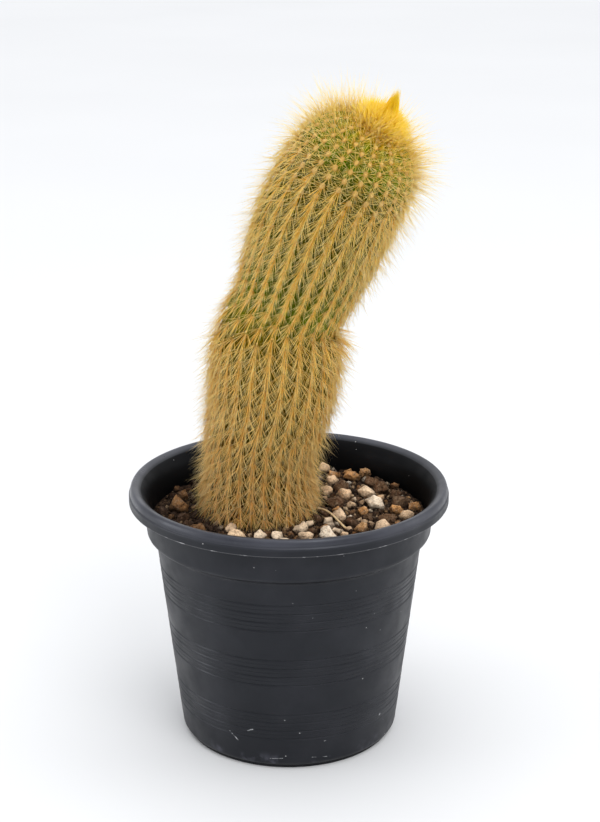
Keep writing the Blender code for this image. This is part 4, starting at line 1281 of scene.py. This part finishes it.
def crown_points():
    """Clusters over the cap on a sunflower spiral, the outer ones leaning away from the middle."""
    places, outward, length = [], [], []
    rng = random.Random(CROWN_SEED)
    for number in range(BRUSH_CLUSTERS):
        reach = math.sqrt((number + 0.5) / BRUSH_CLUSTERS)
        turn = number * GOLDEN_TURN
        way = crown_across * math.cos(turn) + crown_beside * math.sin(turn)
        radius = BRUSH_OVERHANG * CROWN_CAP_RADIUS * reach
        height = CROWN_CAP_HEIGHT * math.sqrt(max(0.0, 1 - reach ** 2))
        places.append(crown_centre + way * radius + crown_axis * height)
        lean = BRUSH_SPREAD * reach ** 1.4
        outward.append(way * math.sin(lean) + crown_axis * math.cos(lean))
        length.append(rng.uniform(*BRUSH_LENGTHS) * (1.0 - 0.25 * reach) * MM)
    outward = np.array(outward)
    upward = unit(np.cross(outward, (0.0, 1.0, 0.02)))
    full = np.ones(len(places))
    share = 1.0 - np.sqrt((np.arange(BRUSH_CLUSTERS) + 0.5) / BRUSH_CLUSTERS)
    return points_mesh("crown", places, outward=outward, upward=upward, share=share, fan=full * math.pi,
                       lift=full * BRUSH_LIFT, length=length)


def lock_points():
    """Strands of the pointed lock, which start round its foot and meet at its tip."""
    rng = random.Random(CROWN_SEED + 1)
    foot = crown_centre + crown_axis * CROWN_CAP_HEIGHT * 0.6 + crown_across * LOCK_SHIFT
    tip = foot + np.array(LOCK_LEAN) * LOCK_REACH
    places, outward, length = [], [], []
    for _ in range(LOCK_STRANDS):
        turn, reach = rng.uniform(0.0, math.tau), LOCK_ROOT_RADIUS * math.sqrt(rng.random())
        place = foot + (crown_across * math.cos(turn) + crown_beside * math.sin(turn)) * reach
        run = tip - place
        places.append(place)
        outward.append(run / np.linalg.norm(run))
        length.append(np.linalg.norm(run) * rng.uniform(0.75, 1.0))
    outward = np.array(outward)
    full = np.ones(len(places))
    return points_mesh("lock", places, outward=outward, upward=unit(np.cross(outward, (0.0, 1.0, 0.0))),
                       share=full, fan=full * math.pi, lift=full * LOCK_LIFT, length=length)


cap = crown_cap()
cap_wool, sketch, shader, place = new_finish("crown_wool", Roughness=0.95, Sheen_Weight=0.5)
cap_fluff = sketch.noise(place, 2500.0, 4.0)
wire(sketch, shader,
     Base_Color=sketch.ramp(cap_fluff, tones((0.3, 255, 190, 20), (0.7, 255, 214, 50))),
     Normal=sketch.bump(0.8, 0.3 * MM, cap_fluff))
cap.data.materials.append(cap_wool)
CROWN_COLOURS = ((0.0, 255, 220, 92), (0.3, 255, 206, 34), (1.0, 255, 194, 14))
crown_finish = spine_finish("crown_spine", CROWN_COLOURS, paint(255, 222, 76), paint(255, 196, 40))
LOCK_COLOURS = ((0.0, 255, 204, 24), (1.0, 255, 198, 14))
lock_finish = spine_finish("lock_spine", LOCK_COLOURS, paint(255, 214, 50), paint(250, 172, 6))
brush = grow_clusters("crown_brush", crown_points(), crown_finish, 8, 0.085, 0.04, 14, 0.55, CROWN_SEED)
lock = grow_clusters("crown_lock", lock_points(), lock_finish, 2, 0.12, 0.0, 0.8, 0.7, CROWN_SEED + 5)
for piece in (cap, brush, lock):
    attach(piece, "root")
    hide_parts("crown_tuft")

# Floor, light and camera
# The plant stands on a wide sheet of white paper in a bright room, under soft studio light: a large softbox
# in front on the right and a low panel at each side. The camera looks a little down on it from the front.
FLOOR_SIZE = 90.0
CAMERA_PLACE = (0.00365, -0.543, 0.287)
CAMERA_DOWN = math.radians(18.0)
CAMERA_LENS = 77.08

sheet = bmesh.new()
bmesh.ops.create_grid(sheet, x_segments=2, y_segments=2, size=FLOOR_SIZE / 2)
floor_mesh = bpy.data.meshes.new("paper_floor")
sheet.to_mesh(floor_mesh)
sheet.free()
floor = new_object("paper_floor", floor_mesh)
paper, sketch, shader, place = new_finish("white_paper", Roughness=0.9, Specular_IOR_Level=0.1)
wire(sketch, shader,
     Base_Color=sketch.ramp(sketch.noise(place, 3.0, 2.0), (
         (0.3, (0.695, 0.699, 0.705, 1.0)), (0.7, (0.71, 0.714, 0.72, 1.0)))))
floor.data.materials.append(paper)


def softbox(name, place, aim, size, power):
    """A square area light that faces a point."""
    lamp = bpy.data.lights.new(name, "AREA")
    lamp.size = size
    lamp.energy = power
    box = bpy.data.objects.new(name, lamp)
    box.location = place
    box.rotation_euler = (Vector(aim) - Vector(place)).to_track_quat("-Z", "Y").to_euler()
    bpy.context.scene.collection.objects.link(box)


softbox("front_softbox", (0.55, -1.05, 1.15), (0.0, 0.0, 0.1), 0.9, 9.0)
softbox("right_panel", (1.3, 0.05, 0.38), (0.0, 0.0, 0.1), 0.8, 3.4)
softbox("left_panel", (-1.3, -0.15, 0.24), (0.0, 0.0, 0.14), 0.6, 5.0)

# The room is even round the plant, brightest overhead, and bright behind, where the white backdrop stands.
ROOM_LEVEL = 0.45
ROOM_RISE = 1.5
BACKDROP_LEVEL = 0.5
room = bpy.data.worlds.new("studio")
room.use_nodes = True
sketch = Sketch(room.node_tree)
way = sketch.add("ShaderNodeTexCoord", output="Generated")
rise = sketch.math("MAXIMUM", sketch.part(way, "Z"), 0.0)
behind = sketch.math("MAXIMUM", sketch.part(way, "Y"), 0.0)
glow = sketch.math("MULTIPLY_ADD", sketch.times(rise, rise), ROOM_RISE, ROOM_LEVEL)
glow = sketch.math("MULTIPLY_ADD", behind, BACKDROP_LEVEL, glow)
background = room.node_tree.nodes["Background"]
background.inputs["Color"].default_value = (0.97, 0.98, 1.0, 1.0)
room.node_tree.links.new(glow, background.inputs["Strength"])
bpy.context.scene.world = room
bpy.context.scene.view_settings.view_transform = "Standard"

camera_data = bpy.data.cameras.new("camera")
camera_data.lens = CAMERA_LENS
camera_data.sensor_width = 36.0
camera_data.clip_start = 0.01
camera_data.clip_end = 200.0
camera = bpy.data.objects.new("camera", camera_data)
camera.location = CAMERA_PLACE
camera.rotation_euler = (math.pi / 2 - CAMERA_DOWN, 0.0, 0.0)
bpy.context.scene.collection.objects.link(camera)
bpy.context.scene.camera = camera
